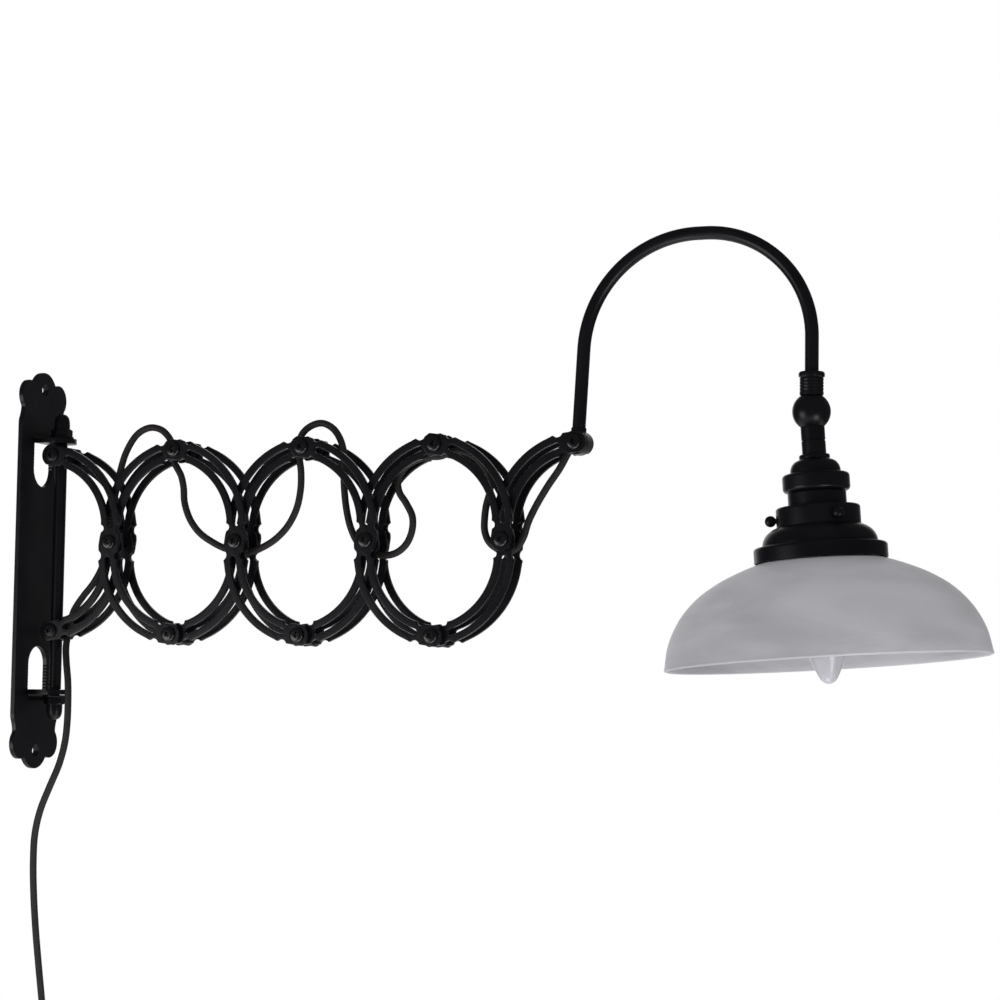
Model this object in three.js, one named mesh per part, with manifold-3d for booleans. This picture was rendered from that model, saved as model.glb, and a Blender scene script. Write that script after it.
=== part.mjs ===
// Accordion wall lamp: a lazy-tongs arm on a swinging rod, a gooseneck, a swivel head and a glass bowl shade.
// Millimetres. X runs out from the wall along the arm, Y is across the arm, Z is up.
// The origin lies on the wall, at the middle of the wall plate's back face.
import * as THREE from 'three';
import { mergeVertices } from 'three/addons/utils/BufferGeometryUtils.js';
import Module from 'manifold-3d';

const wasm = await Module();
wasm.setup();

// General
const GAP = 0.3; // clearance between pieces that meet
const OVERRUN = 2; // how far a cutting shape runs past what it cuts
const WELD = 0.001; // corners nearer than this are one corner
const DEG = Math.PI / 180;

// Wall plate
const PLATE_H = 315;
const PLATE_T = 4;
const PLATE_HALF_W = 33.5;
const LOBE_R = 12; // the two side lobes at each end
const LOBE_Y = 22;
const LOBE_DROP = 20; // from the plate's end to the lobe's middle
const CREST_R = 18.7; // the middle lobe
const NECK_HALF_W = 30.2;
const NECK_DROP = 32;
const SHOULDER_DROP = 41;
const FIX_HOLE_R = 2.75;
const FIX_HOLE_DROP = 14;
const FIX_SINK_R = 5;
const FIX_SINK_DEPTH = 2.6;
const CREST_TURN = 58 * DEG; // how far the crest runs round before it meets a side lobe
const LOBE_START = 110 * DEG; // where a side lobe begins and ends, round its middle
const LOBE_STOP = -50 * DEG;

// Lugs bent out of the plate, and the windows they leave
const LUG_W = 28;
const LUG_T = 4;
const LUG_SPAN = 195; // between the facing sides of the lugs
const LUG_LIFT = 2.5; // of the middle between the lugs, over the plate's middle
const TOP_LUG_Z = LUG_LIFT + LUG_SPAN / 2; // underside of the upper lug
const LOW_LUG_Z = LUG_LIFT - LUG_SPAN / 2; // top of the lower lug
const ROD_X = 20;
const ROD_R = 4.8;
const ROD_TAIL_R = 4;
const ROD_TAIL_LONG = 13;

// Cap nuts
const NUT_FLANGE_R = 9.5;
const NUT_FLANGE_T = 1.5;
const NUT_HEX_R = 8.6;
const NUT_HEX_T = 6;
const NUT_DOME_R = 6.3;
const NUT_DOME_H = 12;
const NUT_DOME_SHARES = [[1, 0.5], [0.8, 0.82], [0.42, 0.96], [0, 1]]; // of its radius and height

// Arm: bars from pivot to pivot
const HALF_BAR = 90;
const WALL_HALF_BAR = 87; // the half that ends at the rod
const REST_ANGLE = 52.8 * DEG; // of a bar's chord above the level
const BAR_TURN = 94 * DEG; // how far each half bar curves round
const BAR_T = 3.6;
const BAR_HALF_W = 7.8;
const OUTER_Y = 13; // middle of the outer straps
const INNER_Y = 8.5; // middle of the inner straps
const PIVOT_HOLE_R = 4;
const MID_BOSS_R = 8.6;
const END_BOSS_R = 9;
const END_SPREAD = 62 * DEG; // how far the round end runs to each side
const SCOOP_NEAR = 7.6; // the scoops beside each boss, along the bar
const SCOOP_AT = 10.8;
const SCOOP_FAR = 14.4;
const SCOOP_HALF_W = 5.7;
const HORN_HALF_W = 8.2;
const SLOT_START = 13.8;
const SLOT_HALF_W = 2.3;

// Pivot spindles
const SHANK_R = 3.6;
const SPACER_R = 4.6;
const HEAD_R = 5.7;
const HEAD_T = 2.6;
const HEAD_TOP_SHARE = 0.72; // of a screw head's radius, at its flat top
const TOP_PIVOT_DROP = 10; // from the upper lug to the top pivot

// Blocks on the rod
const BLOCK_HALF_X = 7;
const BLOCK_H = 14;
const ROD_BORE_R = 5.1;

// Gooseneck
const FOOT_R = 9.3;
const FOOT_SOCKET = 3; // how deep the tube goes into the foot
const FOOT_CORD_HOLE_AT = 222 * DEG; // where the cord enters the foot, round its pivot
const FOOT_CORD_HOLE_DEPTH = 2.4;
const TUBE_R = 5;
const TUBE_BORE_R = 3.7;
const NECK_LEAN = 3 * DEG;
const NECK_LEG = 69.5;
const NECK_BEND_R = 87; // on the wall side of the top
const NECK_OUT_BEND_R = 79; // on the lamp's side
const NECK_FLAT = 6; // straight stretch at the very top
const NECK_DROP_LEG = 33.4;

// Swivel collar and ball knuckle
const COLLAR_LONG = 15.6;
const COLLAR_R = 8.6;
const COLLAR_LIP_R = 9.4;
const COLLAR_LIP_T = 4;
const COLLAR_LIP_ROUND = 1.2;
const COLLAR_RIBS = 5;
const COLLAR_RIB = 0.5;
const COLLAR_OVER_TUBE = 8;
const BALL_R = 13.8;
const BALL_BELOW_COLLAR = 13.1;
const SPIGOT_R = 5;
const KNUCKLE_SCREW_R = 2.5;
const KNUCKLE_HEAD_R = 4;
const KNUCKLE_HEAD_T = 1.6;
const KNUCKLE_FACE_Y = 11.5; // flat face under the screw head
const KNUCKLE_SCREW_DEPTH = 8;
const HEAD_TURN_AT_REST = -9 * DEG;
const HEAD_TILT_AT_REST = -4.3 * DEG;

// Stem and lamp holder, measured down the head's axis from the ball's middle
const STEM_R = 8.6;
const STEM_SUNK = 2.8; // how far the stem runs into the ball
const STEM_GROOVE_AT = 21;
const STEM_GROOVE = 0.5;
const STEM_BORE_R = 4;
const FLANGE_AT = 31;
const FLANGE_R = 11;
const FLANGE_T = 3;
const CAP_AT = 34.3;
const CAP_DOME_R = 18;
const CAP_DOME_H = 10.5;
// Of the dome's radius and height, from its top edge down
const CAP_DOME_SHARES = [[0.68, 0.94], [0.83, 0.8], [0.94, 0.56], [0.99, 0.3], [1, 0.12]];
const CAP_RING_R = 24;
const CAP_RING_T = 13;
const CAP_RING_ROUND = 3;
const CAP_WALL = 2;
const CAP_SIDE_WALL = 0.9; // across the dome's steep side
const SHELL_AT = 58.3;
const SHELL_R = 20.8;
const SHELL_STEP_AT = 68;
const SHELL_SKIRT_R = 19.6;
const SHELL_END = 104;
const SHELL_WALL = 1.6;
const INSERT_AT = 64;
const INSERT_END = 101;
const INSERT_R = 17.4;
const INSERT_BORE_R = 13.8;
const INSERT_FLOOR = 6;
const INSERT_WELL_R = 8.3;

// Gallery that holds the glass
const GALLERY_AT = 68.3;
const GALLERY_R = 30;
const GALLERY_STEP_AT = 82.5;
const GALLERY_DOME_R = 41;
const GALLERY_DOME_AT = 94;
const GALLERY_LIP_R = 47.5;
const GALLERY_LIP_AT = 98.5;
const GALLERY_END = 107.2;
const GALLERY_WALL = 1.3;
const GALLERY_TOP_WALL = 0.8;
const GALLERY_ROUND = 2.1;
const GALLERY_LIP_ROUND = 2.3;
// Of the step's width and height, from the cylinder to the lip
const GALLERY_DOME_SHARES = [[0.38, 0.14], [0.72, 0.42], [0.93, 0.76], [1, 1]];
const THUMB_AT = 76.6;
const THUMB_TURNS = [-44 * DEG, 76 * DEG, -164 * DEG];
const THUMB_NECK = 32 * DEG; // half the angle that the shank takes from the ball
const THUMB_SHANK_R = 1.9;
const THUMB_BALL_R = 3.6;
const THUMB_STAND = 1.4;

// Glass shade and bulb
const SHADE_R = 116;
const SHADE_RIM_AT = 180;
const SHADE_NECK_R = 27.6;
const SHADE_NECK_AT = 71.6;
const SHADE_TOP_AT = 101;
const SHADE_WALL = 3;
// Of the bowl's width and height, from the neck to the rim
const BOWL_SHARES = [
  [0.07, 0.035], [0.225, 0.095], [0.38, 0.16], [0.55, 0.25],
  [0.72, 0.38], [0.86, 0.555], [0.955, 0.765], [1, 1],
];
const BULB_CAP_R = 13.2;
const BULB_CAP_AT = 96;
const BULB_CAP_LONG = 25;
const BULB_CONTACT = 4;
const BULB_CONTACT_R = 4.6;
const BULB_NECK_R = 12.2;
const BULB_R = 17.5;
const BULB_WIDEST_AT = 148;
const BULB_TIP_AT = 194.5;
// Of the bulb's radius and of the height from its neck to its widest, then on to its tip
const BULB_NECK_SHARES = [[0.82, 0.25], [0.96, 0.65], [1, 1]];
const BULB_TIP_SHARES = [[0.955, 0.28], [0.8, 0.58], [0.55, 0.8], [0.36, 0.92], [0.2, 0.98], [0, 1]];

// Cord
const CORD_R = 2.7;
const CORD_SIDES = 8;
const CORD_STEP = 13; // length of one step along the cord
const CORD_TRIM = 0.3; // how much each end of a stretch is shortened
const COIL_X = 7;
const COIL_Z = -396;
const COIL_MID_Y = -20;
const COIL_TURNS = 3; // turns of one layer
const COIL_IN_R = 22;
const COIL_PITCH = 6;
const COIL_LAYER = 6;
const COIL_LOOP_STEPS = 24;
const COIL_SIDES = 6;
const COIL_LEAD = 6; // straight length above the coil
const COIL_TAIL = 27; // straight length from the coil to the plug
const PLUG_RELIEF_R = 4.6;
const PLUG_RELIEF = 20;
const PLUG_LONG = 33;
const PLUG_HALF_W = 17.6;
// Of its half width and length, from the cord down
const PLUG_SHARES = [[0.45, 0], [0.72, 0.55], [1, 0.75], [1, 1]];
const PLUG_HALF_T = 6.8;
const PIN_R = 2;
const PIN_LONG = 19;
const PIN_SPREAD = 9.5;

// Where the pivots are, worked out from the bars
const cosine = Math.cos(REST_ANGLE);
const sine = Math.sin(REST_ANGLE);
const TOP_PIVOT_Z = TOP_LUG_Z - TOP_PIVOT_DROP;
const ARM_Z = TOP_PIVOT_Z - WALL_HALF_BAR * sine;
const RISE = HALF_BAR * sine;
const REACH = HALF_BAR * cosine;
const CROSS_X = ROD_X + WALL_HALF_BAR * cosine;

const crossing = (i) => [CROSS_X + 2 * REACH * i, ARM_Z];
const upperPivot = (i) => [CROSS_X + REACH * (2 * i + 1), ARM_Z + RISE];
const lowerPivot = (i) => [CROSS_X + REACH * (2 * i + 1), ARM_Z - RISE];
const END = upperPivot(3);
const SLIDE_Z = ARM_Z - WALL_HALF_BAR * sine;

// Materials
const paint = () => new THREE.MeshStandardMaterial({ color: 0x17171a, roughness: 0.42, metalness: 0.35 });
const glassPaint = () => new THREE.MeshStandardMaterial({ color: 0xb9b9bc, roughness: 0.5, metalness: 0 });
const clearGlass = () => new THREE.MeshStandardMaterial({ color: 0xe8ecef, roughness: 0.08, metalness: 0 });
const nickel = () => new THREE.MeshStandardMaterial({ color: 0xb8b9b6, roughness: 0.3, metalness: 1 });
const ceramic = () => new THREE.MeshStandardMaterial({ color: 0xe9e6df, roughness: 0.45, metalness: 0 });
const rubber = () => new THREE.MeshStandardMaterial({ color: 0x24211f, roughness: 0.7, metalness: 0 });

const lamp = new THREE.Group();

function node(name, geometry, material, parent = lamp) {
  const mesh = new THREE.Mesh(geometry, material);
  mesh.name = name;
  parent.add(mesh);
  return mesh;
}

// A welded copy of a closed geometry: shared corners, no empty triangles, and faces that look outward
function weld(source) {
  const bare = source.clone();
  for (const name of Object.keys(bare.attributes)) {
    if (name !== 'position') bare.deleteAttribute(name);
  }
  const merged = mergeVertices(bare, WELD);
  const place = merged.attributes.position;
  const old = merged.index.array;
  const kept = [];
  let volume = 0;
  const a = new THREE.Vector3();
  const b = new THREE.Vector3();
  const c = new THREE.Vector3();
  for (let i = 0; i < old.length; i += 3) {
    const [p, q, r] = [old[i], old[i + 1], old[i + 2]];
    if (p === q || q === r || p === r) continue;
    a.fromBufferAttribute(place, p);
    b.fromBufferAttribute(place, q);
    c.fromBufferAttribute(place, r);
    volume += a.dot(b.cross(c));
    kept.push(p, q, r);
  }
  if (volume < 0) {
    for (let i = 0; i < kept.length; i += 3) [kept[i], kept[i + 1]] = [kept[i + 1], kept[i]];
  }
  const solid = new THREE.BufferGeometry();
  solid.setAttribute('position', place.clone());
  solid.setIndex(kept);
  return solid;
}

function toManifold(geometry) {
  const solid = weld(geometry);
  const vertProperties = new Float32Array(solid.attributes.position.array);
  const triVerts = new Uint32Array(solid.index.array);
  return new wasm.Manifold(new wasm.Mesh({ numProp: 3, vertProperties, triVerts }));
}

function fromManifold(manifold) {
  const { vertProperties, triVerts } = manifold.getMesh();
  const solid = new THREE.BufferGeometry();
  solid.setAttribute('position', new THREE.BufferAttribute(new Float32Array(vertProperties), 3));
  solid.setIndex(Array.from(triVerts));
  return solid;
}

// One solid from a first geometry, others joined to it, and others cut from it
function shaped(first, joined = [], cut = []) {
  let solid = toManifold(first);
  for (const geometry of joined) solid = solid.add(toManifold(geometry));
  for (const geometry of cut) solid = solid.subtract(toManifold(geometry));
  return fromManifold(solid);
}

// A solid turned about Z from points of radius and height
function turned(points, segments) {
  const profile = points.map(([radius, height]) => new THREE.Vector2(radius, height));
  return weld(new THREE.LatheGeometry(profile, segments).rotateX(Math.PI / 2));
}

// A slab cut to an outline in X and Z, as thick as told, with its middle on Y = 0
function slab(outline, holes, thick) {
  const shape = new THREE.Shape(THREE.ShapeUtils.isClockWise(outline) ? [...outline].reverse() : outline);
  shape.holes = holes.map((points) => new THREE.Path(points));
  const solid = new THREE.ExtrudeGeometry(shape, { depth: thick, bevelEnabled: false });
  return weld(solid.rotateX(Math.PI / 2).translate(0, thick / 2, 0));
}

function arc(x, y, radius, from, to, steps) {
  const points = [];
  for (let i = 0; i <= steps; i += 1) {
    const turn = from + ((to - from) * i) / steps;
    points.push(new THREE.Vector2(x + radius * Math.cos(turn), y + radius * Math.sin(turn)));
  }
  return points;
}

const circle = (x, y, radius, steps) => arc(x, y, radius, 0, 2 * Math.PI, steps).slice(0, -1);

// A rod of round section along Z, X or Y
const post = (radius, from, to, sides) => turned([[0, from], [radius, from], [radius, to], [0, to]], sides);
const postX = (radius, from, to, sides) => post(radius, from, to, sides).rotateY(Math.PI / 2);
const postY = (radius, from, to, sides) => post(radius, from, to, sides).rotateX(-Math.PI / 2);

const box = (x, y, z) => new THREE.BoxGeometry(x, y, z);

// A tube of round section along a curve
function tube(curve, radius, sides, steps, boreRadius = 0) {
  const section = new THREE.Shape(circle(0, 0, radius, sides));
  if (boreRadius > 0) section.holes = [new THREE.Path(circle(0, 0, boreRadius, sides))];
  const solid = new THREE.ExtrudeGeometry(section, { steps, extrudePath: curve, bevelEnabled: false });
  return weld(solid);
}

// Wall plate with its trefoil ends, windows, bent lugs and screw holes
function plateHalf() {
  const end = PLATE_H / 2;
  const crestZ = end - CREST_R;
  const lobeZ = end - LOBE_DROP;
  const half = arc(0, crestZ, CREST_R, Math.PI / 2, Math.PI / 2 - CREST_TURN, 5);
  half.push(...arc(LOBE_Y, lobeZ, LOBE_R, LOBE_START, LOBE_STOP, 8));
  half.push(new THREE.Vector2(NECK_HALF_W, end - NECK_DROP));
  half.push(new THREE.Vector2(PLATE_HALF_W, end - SHOULDER_DROP));
  return half;
}

function windowOutline(lugFace, direction) {
  const roundZ = lugFace + direction * ROD_X;
  const round = arc(0, roundZ, LUG_W / 2, 0, direction * Math.PI, 8);
  return [new THREE.Vector2(LUG_W / 2, lugFace), ...round, new THREE.Vector2(-LUG_W / 2, lugFace)];
}

function lug(z) {
  const round = arc(ROD_X, 0, LUG_W / 2, -Math.PI / 2, Math.PI / 2, 8);
  const root = PLATE_T / 2;
  const outline = [new THREE.Vector2(root, -LUG_W / 2), ...round, new THREE.Vector2(root, LUG_W / 2)];
  const shape = new THREE.Shape(outline);
  shape.holes = [new THREE.Path(circle(ROD_X, 0, ROD_TAIL_R + GAP, 12))];
  return new THREE.ExtrudeGeometry(shape, { depth: LUG_T, bevelEnabled: false }).translate(0, 0, z);
}

function wallPlate() {
  const right = plateHalf();
  const lower = right.map((p) => new THREE.Vector2(p.x, -p.y)).reverse();
  const rightSide = [...right, ...lower];
  const leftSide = rightSide.slice(1, -1).map((p) => new THREE.Vector2(-p.x, p.y)).reverse();
  const windows = [windowOutline(TOP_LUG_Z, -1), windowOutline(LOW_LUG_Z, 1)];
  const flat = slab([...rightSide, ...leftSide], windows, PLATE_T);
  flat.rotateZ(Math.PI / 2).translate(PLATE_T / 2, 0, 0);
  const holeZ = PLATE_H / 2 - FIX_HOLE_DROP;
  const cuts = [];
  for (const z of [holeZ, -holeZ]) {
    cuts.push(postX(FIX_HOLE_R, -OVERRUN, PLATE_T + OVERRUN, 12).translate(0, 0, z));
    const sink = [[0, 0], [FIX_HOLE_R, 0], [FIX_SINK_R, FIX_SINK_DEPTH], [FIX_SINK_R, PLATE_T], [0, PLATE_T]];
    cuts.push(turned(sink, 12).rotateY(Math.PI / 2).translate(PLATE_T - FIX_SINK_DEPTH, 0, z));
  }
  return shaped(flat, [lug(TOP_LUG_Z), lug(LOW_LUG_Z - LUG_T)], cuts);
}

function pivotRod() {
  const low = LOW_LUG_Z + GAP;
  const top = TOP_LUG_Z - GAP;
  return turned([
    [0, low - ROD_TAIL_LONG],
    [ROD_TAIL_R, low - ROD_TAIL_LONG],
    [ROD_TAIL_R, low],
    [ROD_R, low],
    [ROD_R, top],
    [ROD_TAIL_R, top],
    [ROD_TAIL_R, top + ROD_TAIL_LONG],
    [0, top + ROD_TAIL_LONG],
  ], 12);
}

function capNut() {
  const hexTop = NUT_FLANGE_T + NUT_HEX_T;
  const boreEnd = ROD_TAIL_LONG - LUG_T;
  const flange = post(NUT_FLANGE_R, 0, NUT_FLANGE_T, 18);
  const hex = post(NUT_HEX_R, NUT_FLANGE_T / 2, hexTop, 6);
  const domeLine = NUT_DOME_SHARES.map(([wide, high]) => [NUT_DOME_R * wide, hexTop + NUT_DOME_H * high]);
  const dome = turned([[0, hexTop / 2], [NUT_DOME_R, hexTop / 2], ...domeLine], 14);
  return shaped(flange, [hex, dome], [post(ROD_TAIL_R + GAP, -OVERRUN, boreEnd, 12)]);
}

// Bars: each half curves one way, so a whole bar is an S
const bendOf = (chord) => chord / (2 * Math.sin(BAR_TURN / 2));

// The place and the sideways direction at a distance along a half bar that starts at a pivot
function halfBarAt(chord, bulge, distance) {
  const radius = bendOf(chord);
  const turn = distance / radius - BAR_TURN / 2;
  const x = chord / 2 + radius * Math.sin(turn);
  const y = bulge * radius * (Math.cos(turn) - Math.cos(BAR_TURN / 2));
  return { x, y, sideX: bulge * Math.sin(turn), sideY: Math.cos(turn) };
}

// How far out a bar's edge is, going from one boss towards the other, for half the way
function bossEdge(bossHalf) {
  return [
    [SCOOP_NEAR / 2, bossHalf],
    [SCOOP_NEAR, BAR_HALF_W],
    [SCOOP_AT, SCOOP_HALF_W],
    [SCOOP_FAR, HORN_HALF_W],
  ];
}

// One edge of a half bar, as distances along it and half widths
function halfEdge(chord, startsAtEnd, endsAtEnd) {
  const long = bendOf(chord) * BAR_TURN;
  const near = bossEdge(MID_BOSS_R).slice(startsAtEnd ? 1 : 0);
  const far = bossEdge(MID_BOSS_R).slice(endsAtEnd ? 1 : 0).reverse();
  const between = [];
  const pieces = 4;
  for (let i = 1; i < pieces; i += 1) {
    const share = i / pieces;
    between.push([SCOOP_FAR + (long - 2 * SCOOP_FAR) * share, BAR_HALF_W]);
  }
  return [...near, ...between, ...far.map(([along, half]) => [long - along, half])];
}

function offsetPoint(at, out) {
  return new THREE.Vector2(at.x + at.sideX * out, at.y + at.sideY * out);
}

function slotOutline(chord, bulge) {
  const long = bendOf(chord) * BAR_TURN;
  const steps = 4;
  const ends = [];
  const over = [];
  const under = [];
  for (let i = 0; i <= steps; i += 1) {
    const at = halfBarAt(chord, bulge, SLOT_START + ((long - 2 * SLOT_START) * i) / steps);
    over.push(offsetPoint(at, SLOT_HALF_W));
    under.push(offsetPoint(at, -SLOT_HALF_W));
  }
  ends.push(offsetPoint(halfBarAt(chord, bulge, long - SLOT_START + SLOT_HALF_W), 0));
  ends.push(offsetPoint(halfBarAt(chord, bulge, SLOT_START - SLOT_HALF_W), 0));
  return [...over, ends[0], ...under.reverse(), ends[1]];
}

// The round end of a bar, past its last pivot
function roundEnd(x, heading) {
  return arc(x, 0, END_BOSS_R, heading + END_SPREAD, heading - END_SPREAD, 3);
}

// A whole bar with its middle pivot at the origin; bulge is the side to which its far half curves
function wholeBar(nearChord, farChord, bulge) {
  const over = [];
  const under = [];
  const near = halfEdge(nearChord, false, true).reverse();
  for (const [along, half] of near) {
    const at = halfBarAt(nearChord, bulge, along);
    over.push(offsetPoint(at, half).negate());
    under.push(offsetPoint(at, -half).negate());
  }
  for (const [along, half] of halfEdge(farChord, false, true)) {
    const at = halfBarAt(farChord, bulge, along);
    under.push(offsetPoint(at, half));
    over.push(offsetPoint(at, -half));
  }
  const heading = -bulge * BAR_TURN / 2;
  const farEnd = roundEnd(farChord, heading);
  const nearEnd = roundEnd(-nearChord, heading + Math.PI);
  const outline = [...under, ...farEnd, ...over.reverse(), ...nearEnd];
  const holes = [-nearChord, 0, farChord].map((x) => circle(x, 0, PIVOT_HOLE_R, 8));
  const nearSlot = slotOutline(nearChord, bulge).map((p) => p.negate());
  return slab(outline, [...holes, slotOutline(farChord, bulge), nearSlot], BAR_T);
}

// The short bar that closes the last ring, with its first pivot at the origin
function halfBar(chord, bulge) {
  const over = [];
  const under = [];
  for (const [along, half] of halfEdge(chord, true, true)) {
    const at = halfBarAt(chord, bulge, along);
    over.push(offsetPoint(at, half));
    under.push(offsetPoint(at, -half));
  }
  const farEnd = roundEnd(chord, -bulge * BAR_TURN / 2);
  const nearEnd = roundEnd(0, Math.PI + bulge * BAR_TURN / 2);
  const outline = [...over, ...farEnd, ...under.reverse(), ...nearEnd];
  const holes = [0, chord].map((x) => circle(x, 0, PIVOT_HOLE_R, 8));
  return slab(outline, [...holes, slotOutline(chord, bulge)], BAR_T);
}

function addBars(name, geometry, [x, z], angle, sideY) {
  for (const [side, y] of [['front', -sideY], ['back', sideY]]) {
    const bar = node(`${name}_${side}`, geometry.clone(), paint());
    bar.position.set(x, y, z);
    bar.rotation.y = -angle;
  }
}

// Falling bars run down and out in the outer layers, rising bars run up and out in the inner layers
function addArm() {
  for (let i = 0; i < 4; i += 1) {
    const nearChord = i === 0 ? WALL_HALF_BAR : HALF_BAR;
    addBars(`rising_bar_${i + 1}`, wholeBar(nearChord, HALF_BAR, 1), crossing(i), REST_ANGLE, INNER_Y);
    if (i < 3) {
      addBars(`falling_bar_${i + 1}`, wholeBar(nearChord, HALF_BAR, -1), crossing(i), -REST_ANGLE, OUTER_Y);
    }
  }
  addBars('falling_bar_4', halfBar(HALF_BAR, 1), upperPivot(2), -REST_ANGLE, OUTER_Y);
}

// A pivot's spindle along Y: spacer in the middle, shank through the straps, and a screw head at each end
function spindle(outerFace, innerFace) {
  const seat = outerFace + GAP;
  const spacer = innerFace - GAP;
  const side = [
    [SPACER_R, spacer],
    [SHANK_R, spacer],
    [SHANK_R, seat],
    [HEAD_R, seat],
    [HEAD_R * HEAD_TOP_SHARE, seat + HEAD_T],
    [0, seat + HEAD_T],
  ];
  const other = side.map(([radius, along]) => [radius, -along]).reverse();
  return turned([...other, ...side], 8).rotateX(Math.PI / 2);
}

function addSpindles() {
  const outerFace = OUTER_Y + BAR_T / 2;
  const innerFace = INNER_Y - BAR_T / 2;
  const long = spindle(outerFace, innerFace);
  const places = [];
  for (let i = 0; i < 4; i += 1) places.push([`crossing_pivot_${i + 1}`, crossing(i)]);
  for (let i = 0; i < 3; i += 1) places.push([`upper_pivot_${i + 1}`, upperPivot(i)]);
  for (let i = 0; i < 3; i += 1) places.push([`lower_pivot_${i + 1}`, lowerPivot(i)]);
  for (const [name, [x, z]] of places) node(name, long.clone(), paint()).position.set(x, 0, z);
  const short = spindle(INNER_Y + BAR_T / 2, innerFace);
  node('gooseneck_pivot', short, paint()).position.set(END[0], 0, END[1]);
}

// A block on the rod, with a pivot stub and screw head on each side
function rodBlock(strapY) {
  const faceY = strapY - BAR_T / 2 - GAP;
  const seat = strapY + BAR_T / 2 + GAP;
  const side = [
    [SHANK_R, faceY - GAP],
    [SHANK_R, seat],
    [HEAD_R, seat],
    [HEAD_R * HEAD_TOP_SHARE, seat + HEAD_T],
    [0, seat + HEAD_T],
  ];
  const stub = turned([[0, faceY - GAP], ...side], 10);
  const front = stub.clone().rotateX(Math.PI / 2);
  const back = stub.rotateX(-Math.PI / 2);
  const body = box(2 * BLOCK_HALF_X, 2 * faceY, BLOCK_H);
  return shaped(body, [front, back], [post(ROD_BORE_R, -BLOCK_H, BLOCK_H, 12)]);
}

function addBlocks() {
  node('swivel_block', rodBlock(OUTER_Y), paint()).position.set(ROD_X, 0, TOP_PIVOT_Z);
  node('sliding_block', rodBlock(INNER_Y), paint()).position.set(ROD_X, 0, SLIDE_Z);
}

function addWallBracket() {
  node('wall_plate', wallPlate(), paint());
  node('pivot_rod', pivotRod(), paint()).position.set(ROD_X, 0, 0);
  node('top_cap_nut', capNut(), paint()).position.set(ROD_X, 0, TOP_LUG_Z + LUG_T + GAP);
  const low = node('bottom_cap_nut', capNut(), paint());
  low.position.set(ROD_X, 0, LOW_LUG_Z - LUG_T - GAP);
  low.rotation.x = Math.PI;
}

// Gooseneck: a straight leg that leans out a little, a round bend, and a straight drop to the collar
function neckBendMiddle() {
  const x = END[0] + NECK_LEG * Math.sin(NECK_LEAN) + NECK_BEND_R * Math.cos(NECK_LEAN);
  const z = END[1] + NECK_LEG * Math.cos(NECK_LEAN) - NECK_BEND_R * Math.sin(NECK_LEAN);
  return { x, z };
}

const NECK_END_X = neckBendMiddle().x + NECK_FLAT + NECK_OUT_BEND_R;
const OUT_BEND_Z = neckBendMiddle().z + NECK_BEND_R - NECK_OUT_BEND_R;
const NECK_END_Z = OUT_BEND_Z - NECK_DROP_LEG;
const COLLAR_Z = NECK_END_Z + COLLAR_OVER_TUBE - COLLAR_LONG; // underside of the collar
const BALL_Z = COLLAR_Z - BALL_BELOW_COLLAR;

// The middle line of the gooseneck, from a distance above its pivot to its lower end
function neckLine(startAlong) {
  const { x: middleX, z: middleZ } = neckBendMiddle();
  const legEndX = END[0] + NECK_LEG * Math.sin(NECK_LEAN);
  const legEndZ = END[1] + NECK_LEG * Math.cos(NECK_LEAN);
  const startShare = startAlong / NECK_LEG;
  const points = [];
  for (const share of [startShare, (startShare + 1) / 2]) {
    const z = END[1] + (legEndZ - END[1]) * share;
    points.push(new THREE.Vector3(END[0] + (legEndX - END[0]) * share, 0, z));
  }
  const steps = 8;
  for (const { x, y } of arc(middleX, middleZ, NECK_BEND_R, Math.PI + NECK_LEAN, Math.PI / 2, steps)) {
    points.push(new THREE.Vector3(x, 0, y));
  }
  for (const { x, y } of arc(middleX + NECK_FLAT, OUT_BEND_Z, NECK_OUT_BEND_R, Math.PI / 2, 0, steps)) {
    points.push(new THREE.Vector3(x, 0, y));
  }
  points.push(new THREE.Vector3(NECK_END_X, 0, NECK_END_Z + NECK_DROP_LEG / 2));
  points.push(new THREE.Vector3(NECK_END_X, 0, NECK_END_Z));
  return new THREE.CatmullRomCurve3(points, false, 'centripetal');
}

const FOOT_HALF_T = INNER_Y - BAR_T / 2 - GAP;

function neckFoot() {
  const disc = postY(FOOT_R, -FOOT_HALF_T, FOOT_HALF_T, 24);
  const pivotHole = postY(SPACER_R + GAP, -FOOT_HALF_T - OVERRUN, FOOT_HALF_T + OVERRUN, 10);
  const socket = post(TUBE_R + GAP, FOOT_R - FOOT_SOCKET + GAP, FOOT_R + OVERRUN, 10).rotateY(NECK_LEAN);
  const cordHole = post(CORD_R + GAP, FOOT_R - FOOT_CORD_HOLE_DEPTH, FOOT_R + OVERRUN, 8);
  cordHole.rotateY(Math.PI / 2 - FOOT_CORD_HOLE_AT);
  return shaped(disc, [], [pivotHole, socket, cordHole]);
}

// Collar: a lip on top, fine ribs below, and a bore that takes the tube and the knuckle's spigot
function collar() {
  const bore = TUBE_R + GAP;
  const points = [[bore, 0], [COLLAR_R, 0]];
  const ribbed = COLLAR_LONG - COLLAR_LIP_T;
  const pitch = ribbed / COLLAR_RIBS;
  for (let i = 0; i < COLLAR_RIBS; i += 1) {
    points.push([COLLAR_R, pitch * i + pitch / 2]);
    points.push([COLLAR_R - COLLAR_RIB, pitch * i + (pitch * 3) / 4]);
  }
  points.push([COLLAR_R, ribbed]);
  points.push([COLLAR_LIP_R, ribbed + COLLAR_LIP_ROUND]);
  points.push([COLLAR_LIP_R, COLLAR_LONG - COLLAR_LIP_ROUND]);
  points.push([COLLAR_R, COLLAR_LONG], [bore, COLLAR_LONG], [bore, 0]);
  return turned(points, 12);
}

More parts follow.
